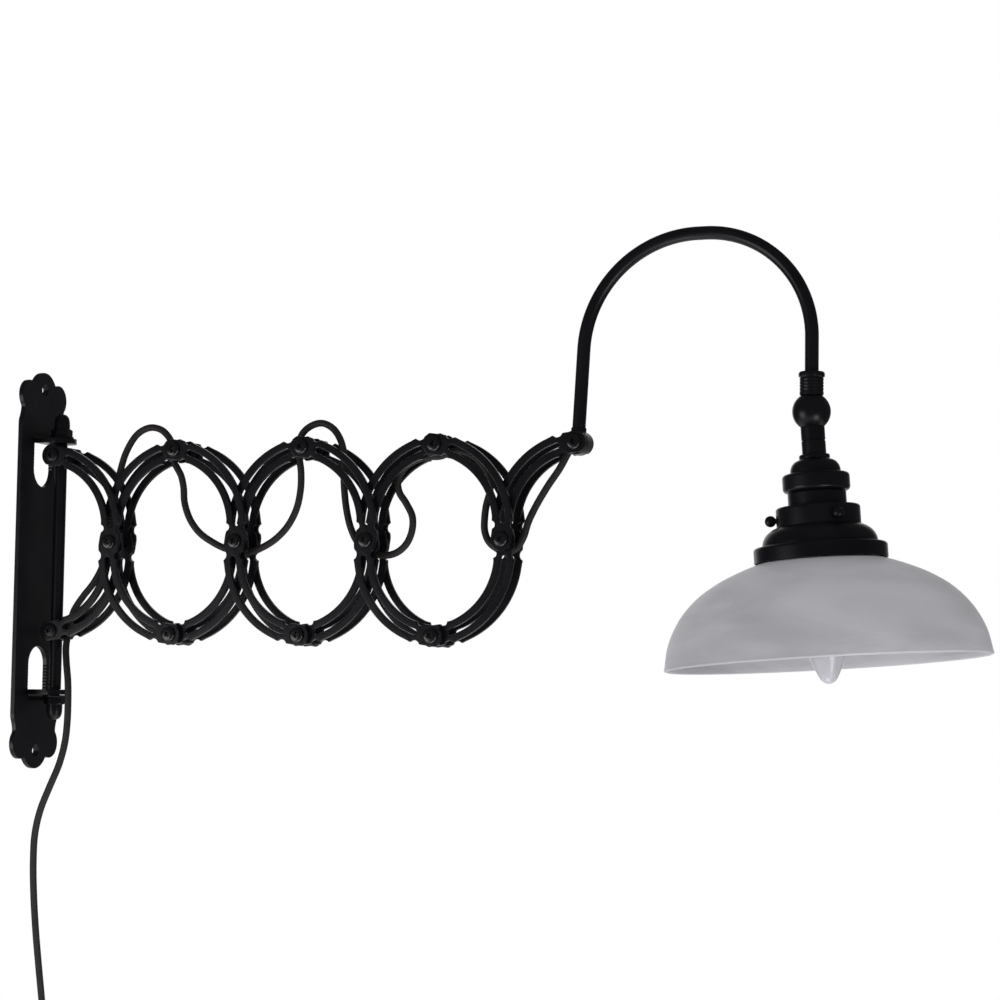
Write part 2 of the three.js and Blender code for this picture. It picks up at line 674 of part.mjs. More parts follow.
// Knuckle: the back half of the ball hangs from the collar, the front half carries the stem
const ballSolid = () => new THREE.SphereGeometry(BALL_R, 16, 10).rotateX(Math.PI / 2);

function knuckleUpper() {
  const top = BALL_BELOW_COLLAR + COLLAR_LONG - COLLAR_OVER_TUBE - GAP;
  const spigot = post(SPIGOT_R, 0, top, 10);
  const frontHalf = box(4 * BALL_R, 2 * BALL_R, 2 * BALL_R).translate(0, -BALL_R + GAP / 2, 0);
  const face = box(4 * BALL_R, 2 * BALL_R, 4 * BALL_R).translate(0, BALL_R + KNUCKLE_FACE_Y, 0);
  const screwHole = postY(KNUCKLE_SCREW_R + GAP, -BALL_R, 2 * BALL_R, 10);
  const wireBore = post(CORD_R + GAP, BALL_R / 2, top + OVERRUN, 8);
  return shaped(ballSolid(), [spigot], [frontHalf, face, screwHole, wireBore]);
}

function knuckleLower() {
  const stemTop = BALL_R - STEM_SUNK;
  const stem = turned([
    [0, -FLANGE_AT - FLANGE_T],
    [FLANGE_R, -FLANGE_AT - FLANGE_T],
    [FLANGE_R, -FLANGE_AT],
    [STEM_R, -FLANGE_AT],
    [STEM_R, -STEM_GROOVE_AT - STEM_GROOVE],
    [STEM_R - STEM_GROOVE, -STEM_GROOVE_AT],
    [STEM_R, -STEM_GROOVE_AT + STEM_GROOVE],
    [STEM_R, -stemTop],
    [0, -stemTop],
  ], 16);
  const backHalf = box(4 * BALL_R, 2 * BALL_R, 4 * BALL_R).translate(0, BALL_R - GAP / 2, 0);
  const keepOff = new THREE.SphereGeometry(BALL_R + GAP, 16, 10).rotateX(Math.PI / 2);
  const keepOffBack = fromManifold(toManifold(keepOff).intersect(toManifold(backHalf)));
  const cutBall = fromManifold(toManifold(ballSolid()).subtract(toManifold(backHalf)));
  const screwHole = postY(KNUCKLE_SCREW_R + GAP, -KNUCKLE_SCREW_DEPTH - GAP, BALL_R, 10);
  const wireBore = post(STEM_BORE_R, -FLANGE_AT - FLANGE_T - OVERRUN, -BALL_R - OVERRUN, 8);
  return shaped(cutBall, [stem], [keepOffBack, screwHole, wireBore]);
}

function knuckleScrew() {
  const seat = KNUCKLE_FACE_Y + GAP;
  const screw = turned([
    [0, -KNUCKLE_SCREW_DEPTH],
    [KNUCKLE_SCREW_R, -KNUCKLE_SCREW_DEPTH],
    [KNUCKLE_SCREW_R, seat],
    [KNUCKLE_HEAD_R, seat],
    [KNUCKLE_HEAD_R, seat + KNUCKLE_HEAD_T / 2],
    [KNUCKLE_HEAD_R * HEAD_TOP_SHARE, seat + KNUCKLE_HEAD_T],
    [0, seat + KNUCKLE_HEAD_T],
  ], 10);
  return screw.rotateX(-Math.PI / 2);
}

// Lamp holder. Heights are negative: they count down from the ball's middle
function holderCap() {
  const shoulder = CAP_AT + CAP_DOME_H;
  const ringEnd = shoulder + CAP_RING_T;
  const domeLine = CAP_DOME_SHARES.map(([wide, high]) => [CAP_DOME_R * wide, CAP_DOME_H * high - shoulder]);
  const innerLine = domeLine.map(([radius, height]) => [radius - CAP_SIDE_WALL, height - CAP_WALL]).reverse();
  const hole = STEM_BORE_R + GAP;
  return turned([
    [hole, -CAP_AT],
    ...domeLine,
    [CAP_RING_R - CAP_RING_ROUND, -shoulder],
    [CAP_RING_R, -shoulder - CAP_RING_ROUND],
    [CAP_RING_R, CAP_RING_ROUND - ringEnd],
    [CAP_RING_R - CAP_RING_ROUND, -ringEnd],
    [CAP_DOME_R - CAP_SIDE_WALL, -ringEnd],
    ...innerLine,
    [hole, -CAP_AT - CAP_WALL],
    [hole, -CAP_AT],
  ], 16);
}

function holderShell() {
  const bore = SHELL_SKIRT_R - SHELL_WALL;
  return turned([
    [bore, -SHELL_END],
    [SHELL_SKIRT_R, -SHELL_END],
    [SHELL_SKIRT_R, -SHELL_STEP_AT],
    [SHELL_R, -SHELL_STEP_AT],
    [SHELL_R, -SHELL_AT],
    [bore, -SHELL_AT],
    [bore, -SHELL_END],
  ], 16);
}

function holderInsert() {
  return turned([
    [0, -INSERT_AT],
    [0, -INSERT_AT - INSERT_FLOOR],
    [INSERT_WELL_R, -INSERT_AT - INSERT_FLOOR],
    [INSERT_WELL_R, -BULB_CAP_AT + BULB_CONTACT],
    [INSERT_BORE_R, -BULB_CAP_AT + BULB_CONTACT],
    [INSERT_BORE_R, -INSERT_END],
    [INSERT_R, -INSERT_END],
    [INSERT_R, -INSERT_AT],
    [0, -INSERT_AT],
  ], 12);
}

function gallery() {
  const hole = SHELL_SKIRT_R + GAP;
  const outer = [
    [hole, GALLERY_AT],
    [GALLERY_R - GALLERY_ROUND, GALLERY_AT],
    [GALLERY_R, GALLERY_AT + GALLERY_ROUND],
    [GALLERY_R, GALLERY_STEP_AT],
  ];
  const domeWide = GALLERY_DOME_R - GALLERY_R;
  const domeHigh = GALLERY_DOME_AT - GALLERY_STEP_AT;
  for (const [wide, high] of GALLERY_DOME_SHARES) {
    outer.push([GALLERY_R + domeWide * wide, GALLERY_STEP_AT + domeHigh * high]);
  }
  outer.push([GALLERY_LIP_R - GALLERY_LIP_ROUND, GALLERY_LIP_AT - GALLERY_LIP_ROUND]);
  outer.push([GALLERY_LIP_R, GALLERY_LIP_AT], [GALLERY_LIP_R, GALLERY_END]);
  const inner = outer.slice(1).map(([radius, along]) => [radius - GALLERY_WALL, along + GALLERY_TOP_WALL]);
  inner[inner.length - 1][1] = GALLERY_END;
  const closed = [...outer, ...inner.reverse(), [hole, GALLERY_AT + GALLERY_WALL], outer[0]];
  const shell = turned(closed.map(([radius, along]) => [radius, -along]), 20);
  const holes = THUMB_TURNS.map((turn) => postX(THUMB_SHANK_R + GAP, GALLERY_R / 2, GALLERY_R + OVERRUN, 8)
    .translate(0, 0, -THUMB_AT)
    .rotateZ(turn));
  return shaped(shell, [], holes);
}

// A thumb screw along +X, seen from the head's axis
function thumbScrew() {
  const tip = SHADE_NECK_R + GAP;
  const ballAt = GALLERY_R + THUMB_STAND + THUMB_BALL_R;
  const ball = arc(ballAt, 0, THUMB_BALL_R, Math.PI - THUMB_NECK, 0, 6).map((p) => [p.y, p.x]);
  const points = [[0, tip], [THUMB_SHANK_R, tip], ...ball];
  points[points.length - 1][0] = 0;
  return turned(points, 10).rotateY(Math.PI / 2);
}

function shade() {
  const neckEnd = SHADE_TOP_AT - SHADE_WALL;
  const wide = SHADE_R - SHADE_NECK_R;
  const high = SHADE_RIM_AT - SHADE_TOP_AT;
  const outer = [[SHADE_NECK_R, SHADE_NECK_AT], [SHADE_NECK_R, neckEnd]];
  for (const [wideShare, highShare] of BOWL_SHARES) {
    outer.push([SHADE_NECK_R + wide * wideShare, SHADE_TOP_AT + high * highShare]);
  }
  const inner = outer.map(([radius, along], i) => {
    const [lastR, lastAlong] = outer[Math.max(i - 1, 0)];
    const [nextR, nextAlong] = outer[Math.min(i + 1, outer.length - 1)];
    const long = Math.hypot(nextR - lastR, nextAlong - lastAlong);
    const inwardR = (-(nextAlong - lastAlong) / long) * SHADE_WALL;
    const inwardAlong = ((nextR - lastR) / long) * SHADE_WALL;
    return [radius + inwardR, along + inwardAlong];
  });
  inner[0][1] = SHADE_NECK_AT;
  inner[inner.length - 1][1] = SHADE_RIM_AT;
  const closed = [...outer, ...inner.reverse(), outer[0]];
  return turned(closed.map(([radius, along]) => [radius, -along]), 28);
}

function bulbCap() {
  const end = BULB_CAP_AT + BULB_CAP_LONG;
  return turned([
    [0, -BULB_CAP_AT + BULB_CONTACT - GAP],
    [BULB_CONTACT_R, -BULB_CAP_AT + BULB_CONTACT - GAP],
    [BULB_CAP_R, -BULB_CAP_AT],
    [BULB_CAP_R, -end],
    [0, -end],
  ], 16);
}

function bulbGlass() {
  const start = BULB_CAP_AT + BULB_CAP_LONG + GAP;
  const widen = BULB_WIDEST_AT - start;
  const taper = BULB_TIP_AT - BULB_WIDEST_AT;
  const points = [[0, start], [BULB_NECK_R, start]];
  for (const [wide, along] of BULB_NECK_SHARES) points.push([BULB_R * wide, start + widen * along]);
  for (const [wide, along] of BULB_TIP_SHARES) points.push([BULB_R * wide, BULB_WIDEST_AT + taper * along]);
  return turned(points.map(([radius, along]) => [radius, -along]), 14);
}

function addGooseneck() {
  node('gooseneck_foot', neckFoot(), paint()).position.set(END[0], 0, END[1]);
  const tubeStart = FOOT_R - FOOT_SOCKET + 2 * GAP;
  node('gooseneck_tube', tube(neckLine(tubeStart), TUBE_R, 10, 22, TUBE_BORE_R), paint());
  node('cord_in_gooseneck', tube(neckLine(tubeStart + GAP), CORD_R, 6, 22), rubber());
  node('swivel_collar', collar(), paint()).position.set(NECK_END_X, 0, COLLAR_Z);
}

function addHead() {
  const turnGroup = new THREE.Group();
  turnGroup.position.set(NECK_END_X, 0, BALL_Z);
  turnGroup.rotation.z = HEAD_TURN_AT_REST;
  lamp.add(turnGroup);
  node('knuckle_upper', knuckleUpper(), paint(), turnGroup);
  node('knuckle_screw', knuckleScrew(), paint(), turnGroup);
  const head = new THREE.Group();
  head.rotation.y = HEAD_TILT_AT_REST;
  turnGroup.add(head);
  node('knuckle_stem', knuckleLower(), paint(), head);
  node('holder_cap', holderCap(), paint(), head);
  node('holder_shell', holderShell(), paint(), head);
  node('holder_insert', holderInsert(), ceramic(), head);
  node('shade_gallery', gallery(), paint(), head);
  THUMB_TURNS.forEach((turn, i) => {
    const screw = node(`thumb_screw_${i + 1}`, thumbScrew(), paint(), head);
    screw.position.z = -THUMB_AT;
    screw.rotation.z = turn;
  });
  node('glass_shade', shade(), glassPaint(), head);
  node('bulb_cap', bulbCap(), nickel(), head);
  node('bulb_glass', bulbGlass(), clearGlass(), head);
}

// The cord's way from the sliding block to the gooseneck's foot, as [X, Z] on the arm's middle plane.
// It is listed for the arm as photographed, and follows the pivots when a bar's length changes.
const ARM_CORD_STRETCHES = [
  ['rising_1', [
    [31.4, -45.5], [35, -33], [43, -21.5], [52, -11], [59, 1], [62.6, 14], [63.6, 29],
    [66.4, 45], [69.6, 60], [73, 76], [78.5, 93], [88, 106.6], [99, 111.4], [108.4, 109.6],
    [113.6, 105.6], [117, 101], [118.8, 92.8],
  ]],
  ['falling_2', [
    [118.8, 92.8], [120.2, 84.6], [123.8, 78.6], [127, 73], [129.4, 64], [130.6, 52],
    [135.6, 39], [144, 28.5], [155, 21.2], [167, 15.8], [181.4, 12.6],
  ]],
  ['rising_2', [
    [181.4, 12.6], [190, 13.4], [199, 16.8], [209, 22.6], [219, 32.2], [226.4, 45.5],
    [229.6, 60], [229.8, 74], [228.2, 85], [227.6, 95],
  ]],
  ['falling_3', [
    [227.6, 95], [230, 103.4], [237, 109.4], [246.5, 111.6], [255.5, 107.6], [262, 99], [265.2, 88],
    [265.4, 74], [266.4, 59], [268.6, 44], [272.6, 30], [279.4, 18.4], [290.3, 11.6],
  ]],
  ['rising_3', [
    [290.3, 11.6], [300.4, 9.8], [310, 11.8], [317.8, 18], [322.4, 28], [322.6, 39], [317.5, 49],
    [311.5, 58], [310.5, 67], [315, 75.5], [324, 81.5], [334, 84], [344.7, 84.4],
  ]],
  ['falling_4', [
    [344.7, 84.4], [353, 87.4], [362, 88], [371, 84.4], [379.6, 76.6], [384.4, 67], [384.6, 57],
    [382, 47], [380.8, 37], [381, 28], [384, 20.4], [390.4, 14.8], [399.1, 11.6],
  ]],
  ['rising_4', [
    [399.1, 11.6], [406.6, 15], [411.8, 23], [415.4, 34], [421.6, 46.5], [430.6, 61], [439.4, 73.4],
    [446.4, 85.6],
  ]],
];

// A stretch of a longer line between two of its points, a little short at both ends to keep clear of the next
class Stretch extends THREE.Curve {
  constructor(line, start, end) {
    super();
    const { points } = line;
    const startStep = points[start].distanceTo(points[start + 1]);
    const endStep = points[end].distanceTo(points[end - 1]);
    this.line = line;
    this.from = (start + CORD_TRIM / startStep) / (points.length - 1);
    this.to = (end - CORD_TRIM / endStep) / (points.length - 1);
  }

  getPoint(share, target) {
    return this.line.getPoint(this.from + (this.to - this.from) * share, target);
  }
}

// Where the listed points have the first crossing, and half a ring's reach and rise
const LISTED_CROSS_X = 72.6;
const LISTED_ARM_Z = 20.7;
const LISTED_REACH = 54.414;
const LISTED_RISE = 71.687;
const CORD_KEEP_OFF = SPACER_R + CORD_R + 2 * GAP; // from a pivot's middle

// A listed point, moved with the pivots and kept off the spindles
function cordPoint([listedX, listedZ]) {
  const point = new THREE.Vector3(
    CROSS_X + ((listedX - LISTED_CROSS_X) * REACH) / LISTED_REACH,
    0,
    ARM_Z + ((listedZ - LISTED_ARM_Z) * RISE) / LISTED_RISE,
  );
  for (const [x, z] of [0, 1, 2, 3].map(crossing)) {
    const pivot = new THREE.Vector3(x, 0, z);
    const away = point.clone().sub(pivot);
    if (away.length() < CORD_KEEP_OFF) point.copy(pivot).add(away.setLength(CORD_KEEP_OFF));
  }
  return point;
}

function addArmCord() {
  const all = [];
  const spans = [];
  for (const [name, points] of ARM_CORD_STRETCHES) {
    const added = all.length > 0 ? points.slice(1) : points;
    const start = Math.max(all.length - 1, 0);
    all.push(...added.map(cordPoint));
    spans.push([name, start, all.length - 1]);
  }
  const line = new THREE.CatmullRomCurve3(all, false, 'centripetal');
  for (const [name, start, end] of spans) {
    const stretch = new Stretch(line, start, end);
    const steps = Math.round(stretch.getLength() / CORD_STEP);
    node(`cord_on_${name}`, tube(stretch, CORD_R, CORD_SIDES, steps), rubber());
  }
}

// The hanging cord's way from the sliding block down past the lower lug and along the wall
const COIL_OUT_R = COIL_IN_R + COIL_PITCH * COIL_TURNS;
const HANGING_CORD = [
  [31, 0, -46.6], [31.2, -2, -53], [33, -7, -62], [37.2, -13, -74], [41.2, -17, -88], [42.7, -18.5, -104],
  [42.5, -18.5, -120], [40.9, -18.5, -136], [36.3, -18.5, -153], [28.3, -18.5, -171], [19.9, -17, -189],
  [13.3, -13, -208], [9.6, -8, -230], [7.3, -2, -256], [7, 3, -284], [7, 9, -312], [7, 15, -338],
  [7, 20, -362],
  [7, COIL_MID_Y + COIL_OUT_R, -380],
];

function hangingCord() {
  const points = HANGING_CORD.map(([x, y, z]) => new THREE.Vector3(x, y, z));
  const end = points[points.length - 1];
  points.push(new THREE.Vector3(COIL_X, end.y, COIL_Z + COIL_LEAD + GAP));
  return new THREE.CatmullRomCurve3(points, false, 'centripetal');
}

// Two layers of turns, one unbroken tube: inwards on the wall side, then outwards on the room side
function coilPoints() {
  const points = [];
  const steps = COIL_LOOP_STEPS * COIL_TURNS;
  const climb = COIL_LOOP_STEPS / 2; // steps of the half turn that climbs a layer
  const place = (layer, i) => {
    const turn = (2 * Math.PI * i) / COIL_LOOP_STEPS;
    const inward = COIL_OUT_R - (COIL_PITCH * i) / COIL_LOOP_STEPS;
    const outward = COIL_IN_R + (COIL_PITCH * i) / COIL_LOOP_STEPS;
    const radius = layer === 0 ? inward : outward;
    const sinceClimb = layer === 0 ? i - steps + climb / 2 : i + climb / 2;
    const climbed = THREE.MathUtils.clamp(sinceClimb / climb, 0, 1);
    const x = COIL_X + COIL_LAYER * climbed;
    return new THREE.Vector3(x, COIL_MID_Y + radius * Math.cos(turn), COIL_Z - radius * Math.sin(turn));
  };
  for (let i = 0; i <= steps; i += 1) points.push(place(0, i));
  for (let i = 1; i <= steps; i += 1) points.push(place(1, i));
  return points;
}

// The least distance between the coil's middle line and itself, less one cord, away from neighbours
function leastGap(points) {
  let least = Infinity;
  const apart = COIL_LOOP_STEPS / 2;
  for (let i = 0; i < points.length; i += 1) {
    for (let j = i + apart; j < points.length; j += 1) {
      least = Math.min(least, points[i].distanceTo(points[j]) - 2 * CORD_R);
    }
  }
  return least;
}

function coil() {
  const points = coilPoints();
  const first = points[0].clone();
  const last = points[points.length - 1].clone();
  first.z += COIL_LEAD;
  last.z -= COIL_TAIL;
  const line = [first, ...points, last];
  console.log(`coil: least gap to itself ${leastGap(points).toFixed(2)} mm`);
  const curve = new THREE.CatmullRomCurve3(line, false, 'centripetal');
  return tube(curve, CORD_R, COIL_SIDES, line.length - 1);
}

// Plug: a strain relief, a body that widens to its face, and two round pins, hanging pins down
function plug() {
  const reliefEnd = -PLUG_RELIEF;
  const relief = turned([
    [0, 0],
    [CORD_R + GAP, 0],
    [PLUG_RELIEF_R, reliefEnd],
    [PLUG_RELIEF_R, reliefEnd - OVERRUN],
    [0, reliefEnd - OVERRUN],
  ], 10);
  const faceZ = reliefEnd - PLUG_LONG;
  const corner = ([wide, down]) => new THREE.Vector2(PLUG_HALF_W * wide, reliefEnd - PLUG_LONG * down);
  const right = PLUG_SHARES.map(corner);
  const left = right.map((p) => new THREE.Vector2(-p.x, p.y)).reverse();
  const outline = [...right, ...left];
  const body = slab(outline, [], 2 * PLUG_HALF_T).rotateZ(Math.PI / 2);
  const pins = [-PIN_SPREAD, PIN_SPREAD].map((y) => post(PIN_R, faceZ - PIN_LONG, faceZ + OVERRUN, 10)
    .translate(0, y, 0));
  return shaped(body, [relief, ...pins]);
}

function addLooseCord() {
  const hanging = hangingCord();
  const steps = Math.round(hanging.getLength() / CORD_STEP);
  node('hanging_cord', tube(hanging, CORD_R, CORD_SIDES, steps), rubber());
  node('cord_coil', coil(), rubber());
  const top = COIL_Z - COIL_TAIL - GAP;
  node('mains_plug', plug(), rubber()).position.set(COIL_X + COIL_LAYER, COIL_MID_Y + COIL_OUT_R, top);
}

addWallBracket();
addBlocks();
addArm();
addSpindles();
addGooseneck();
addHead();
addArmCord();
addLooseCord();

export default lamp;
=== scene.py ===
import math

import bmesh
import bpy
from mathutils import Matrix, Vector


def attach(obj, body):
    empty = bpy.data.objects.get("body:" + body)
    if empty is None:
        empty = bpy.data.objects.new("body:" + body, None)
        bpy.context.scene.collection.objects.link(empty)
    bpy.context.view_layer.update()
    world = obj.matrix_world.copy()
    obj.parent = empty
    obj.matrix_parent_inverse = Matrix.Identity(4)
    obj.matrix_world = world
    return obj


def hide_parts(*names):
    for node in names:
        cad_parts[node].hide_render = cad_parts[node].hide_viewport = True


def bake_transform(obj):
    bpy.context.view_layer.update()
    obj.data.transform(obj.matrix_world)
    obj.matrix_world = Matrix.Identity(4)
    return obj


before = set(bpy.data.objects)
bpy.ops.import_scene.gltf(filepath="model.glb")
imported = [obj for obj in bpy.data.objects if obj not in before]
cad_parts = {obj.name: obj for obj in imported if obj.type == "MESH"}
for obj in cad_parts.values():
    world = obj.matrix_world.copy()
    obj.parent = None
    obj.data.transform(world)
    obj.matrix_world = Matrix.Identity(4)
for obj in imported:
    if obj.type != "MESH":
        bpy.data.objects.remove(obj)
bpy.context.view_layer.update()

# Lengths below are in mm, in the CAD's frame: X off the wall, Z up, and the front of the arm towards -Y.
MM = 0.001
STRAP_T = 3.6
OUTER_Y = 13.0  # middle of the outer straps
INNER_Y = 8.5  # middle of the inner straps
HALF_STRAP = 90.0  # from pivot to pivot
WALL_HALF_STRAP = 87.0
STRAP_TURN = math.radians(94)  # how far a half strap curves round
REST_ANGLE = math.radians(52.8)
ROD_X = 20.0
TOP_LUG_Z = 100.0
LOW_LUG_Z = -95.0
RUNNING_GAP = 0.3  # between neighbours that turn against each other
SHANK_R = 3.6
SCREW_BITE = 0.2  # how far a shank goes into its screw head
PLATE_T = 4.0
HOLE_Z = 143.5
LUG_R = 14.0
LUG_BEND = 5.5
CORD_R = 2.7
ROUND_CREASE = 60  # in degrees, on rods and blown glass
BALL_PLACE = (629.016, 0, 111.141)
BALL_R = 13.8
HEAD_TURN = math.radians(-9)
HEAD_TILT = math.radians(-4.3)

# Pivots as [X, Z]
RISE = HALF_STRAP * math.sin(REST_ANGLE)
REACH = HALF_STRAP * math.cos(REST_ANGLE)
ARM_Z = TOP_LUG_Z - 10 - WALL_HALF_STRAP * math.sin(REST_ANGLE)
CROSSINGS = [(ROD_X + WALL_HALF_STRAP * math.cos(REST_ANGLE) + 2 * REACH * i, ARM_Z) for i in range(4)]
UPPER_PIVOTS = [(x + REACH, z + RISE) for x, z in CROSSINGS]
LOWER_PIVOTS = [(x + REACH, z - RISE) for x, z in CROSSINGS[:3]]
NECK_PIVOT = UPPER_PIVOTS[3]

# Turns of a part that is built upright: its top to the front, to the back, or towards the room
TO_FRONT = Matrix.Rotation(math.pi / 2, 4, "X")
TO_BACK = Matrix.Rotation(-math.pi / 2, 4, "X")
TO_ROOM = Matrix.Rotation(math.pi / 2, 4, "Y")
ACROSS = Matrix.Rotation(math.pi / 2, 4, "Z")
UPSIDE_DOWN = Matrix.Rotation(math.pi, 4, "X")


def moved(x, y, z):
    return Matrix.Translation((x, y, z))


# Camera, at the photograph's viewpoint: its place in metres, and its turns in degrees
CAMERA_PLACE = (1.0458, -1.7748, -0.0921)
CAMERA_TURNS = (20.2, 4.32, 0.84)
CAMERA_LENS = 91.66


def place_camera():
    camera = bpy.data.objects.new("camera", bpy.data.cameras.new("camera"))
    camera.data.lens = CAMERA_LENS
    camera.data.sensor_width = 36
    camera.data.clip_end = 60
    yaw, pitch, roll = (math.radians(angle) for angle in CAMERA_TURNS)
    ahead = Vector((-math.sin(yaw) * math.cos(pitch), math.cos(yaw) * math.cos(pitch), math.sin(pitch)))
    level = Vector((math.cos(yaw), math.sin(yaw), 0))
    above = level.cross(ahead)
    right = level * math.cos(roll) + above * math.sin(roll)
    top = above * math.cos(roll) - level * math.sin(roll)
    turn = Matrix((right, top, -ahead)).transposed().to_4x4()
    camera.matrix_world = Matrix.Translation(CAMERA_PLACE) @ turn
    bpy.context.collection.objects.link(camera)
    bpy.context.scene.camera = camera


# Finishes
NOISE_SPREAD = (0.32, 0.68)  # most values of a noise lie between these


def linear(colour):
    """An sRGB hex colour as the linear values that a shader takes."""
    channels = [int(colour[i:i + 2], 16) / 255 for i in (1, 3, 5)]
    curve = [c / 12.92 if c <= 0.04045 else ((c + 0.055) / 1.055) ** 2.4 for c in channels]
    return (*curve, 1)


def add_node(tree, kind, settings=(), links=()):
    """A shader node with its settings, which are its own or a socket's, and the links into it."""
    node = tree.nodes.new("ShaderNode" + kind)
    for name, value in dict(settings).items():
        if isinstance(name, str) and name.islower():
            setattr(node, name, value)
        else:
            node.inputs[name].default_value = value
    for socket, source in dict(links).items():
        tree.links.new(source, node.inputs[socket])
    return node


def make_finish(name, shades, cloud_mm, rough, grain_mm, grain_depth_mm, shader, squash=1, swirl=0):
    """Colour and gloss that drift in soft clouds, which may lie flat and swirl, under a fine grain."""
    material = bpy.data.materials.new(name)
    material.use_nodes = True
    tree = material.node_tree
    tree.nodes.clear()
    place = add_node(tree, "TexCoord").outputs["Object"]
    layers = add_node(tree, "VectorMath", {"operation": "MULTIPLY", 1: (1, 1, squash)}, {0: place})
    cloud = add_node(tree, "TexNoise", {
        "Scale": 1 / (cloud_mm * MM), "Detail": 4, "Roughness": 0.55, "Distortion": swirl,
    }, {"Vector": layers.outputs["Vector"]})
    drift = cloud.outputs["Fac"]
    colour = add_node(tree, "ValToRGB", links={"Fac": drift})
    low, high = colour.color_ramp.elements
    low.position, high.position = NOISE_SPREAD
    low.color, high.color = (linear(shade) for shade in shades)
    gloss = add_node(tree, "MapRange", {"To Min": rough[0], "To Max": rough[1]}, {"Value": drift})
    grain = add_node(tree, "TexNoise", {"Scale": 1 / (grain_mm * MM), "Detail": 2}, {"Vector": place})
    height = grain.outputs["Fac"]
    bump = add_node(tree, "Bump", {"Strength": 1, "Distance": grain_depth_mm * MM}, {"Height": height})
    surface = add_node(tree, "BsdfPrincipled", shader, {
        "Base Color": colour.outputs["Color"],
        "Roughness": gloss.outputs["Result"],
        "Normal": bump.outputs["Normal"],
    })
    add_node(tree, "OutputMaterial", links={"Surface": surface.outputs["BSDF"]})
    return material


# A finish is its material and the record's slot for it. The numbers are the clouds' width in mm, the least
# and most roughness, and the grain's width and depth in mm.

# Steel sprayed with a satin black powder and baked. The eye gets a near-black face with a soft sheen,
# a little uneven, and a faint orange peel, drawn coarser than the real half millimetre so that it shows.
SATIN_POWDER = (make_finish(
    "satin_black_powder_coat", ("#0a090e", "#100f15"), 26, (0.26, 0.36), 1.4, 0.015,
    {"Specular IOR Level": 0.3, "IOR": 1.5}), "black_paint")
# Steel screws, chemically blackened and oiled: darker and shinier than the paint
BLACKED_STEEL = (make_finish(
    "blackened_screw_steel", ("#09090b", "#0f0f12"), 5, (0.17, 0.26), 0.8, 0.01,
    {"Specular IOR Level": 0.5, "Coat Weight": 0.2, "Coat Roughness": 0.2}), "black_paint")
# Soft PVC sheath, drawn over the wires: brown-black, dull, with long shallow unevenness
CORD_SHEATH = (make_finish(
    "soft_cord_sheath", ("#1c1918", "#262221"), 14, (0.5, 0.6), 0.9, 0.02,
    {"Specular IOR Level": 0.3}), "cord_rubber")
# Moulded hard rubber of the plug, with the fine texture that the mould leaves
PLUG_RUBBER = (make_finish(
    "moulded_plug_rubber", ("#181717", "#201f1e"), 18, (0.55, 0.65), 0.7, 0.05,
    {"Specular IOR Level": 0.35}), "cord_rubber")
# Pressed glass, acid-frosted to an alabaster grey: cloudy, soft to the eye and hardly clear at all
ALABASTER_GLASS = (make_finish(
    "frosted_alabaster_glass", ("#b5b5b9", "#cacacf"), 110, (0.4, 0.5), 2.2, 0.02,
    {"Specular IOR Level": 0.4, "IOR": 1.5, "Transmission Weight": 0.22, "Subsurface Weight": 0.35,
     "Subsurface Scale": 0.004, "Subsurface Radius": (1, 1, 1.05)}, squash=3.4, swirl=0.9), "frosted_glass")
# Nickelled brass of the bulb's cap, rolled thin: bright with a slight haze
NICKEL = (make_finish(
    "nickelled_brass", ("#b4b2ac", "#c6c4be"), 9, (0.22, 0.34), 1.1, 0.01, {"Metallic": 1}), "bright_metal")
# Turned brass of the plug's pins and the bulb's wires
BRASS = (make_finish(
    "turned_brass", ("#b08d4e", "#c2a05f"), 7, (0.25, 0.36), 0.9, 0.01, {"Metallic": 1}), "bright_metal")
# Glazed porcelain of the lamp holder's insert: white, smooth, wet-looking
PORCELAIN = (make_finish(
    "glazed_porcelain", ("#e3dfd6", "#ece9e2"), 22, (0.14, 0.22), 3.0, 0.02,
    {"Coat Weight": 0.4}), "white_ceramic")
# Thin glass, frosted inside to a pearl grey: smooth and shiny outside, milky and hardly clear
BULB_GLASS = (make_finish(
    "pearl_bulb_glass", ("#cbcad2", "#d3d2da"), 30, (0.12, 0.18), 9, 0.03,
    {"Specular IOR Level": 0.6, "IOR": 1.5, "Transmission Weight": 0.25, "Subsurface Weight": 0.3,
     "Subsurface Scale": 0.003, "Subsurface Radius": (1, 1, 1.1)}), "clear_glass")


# Shapes

def rounded(points, steps=4):
    """A line whose corners are rounded where a point has a third value, the corner's radius."""
    line = []
    for i, point in enumerate(points):
        here = Vector(point[:2])
        if len(point) < 3:
            line.append(here)
            continue
        back = Vector(points[i - 1][:2]) - here
        ahead = Vector(points[(i + 1) % len(points)][:2]) - here
        half_turn = (math.pi - back.angle(ahead)) / 2
        cut = min(point[2] * math.tan(half_turn), 0.49 * back.length, 0.49 * ahead.length)
        radius = cut / math.tan(half_turn)
        middle = here + (back.normalized() + ahead.normalized()).normalized() * radius / math.cos(half_turn)
        start = here + back.normalized() * cut - middle
        way = -1 if back.cross(ahead) > 0 else 1
        for k in range(steps + 1):
            line.append(middle + Matrix.Rotation(way * 2 * half_turn * k / steps, 2) @ start)
    return line


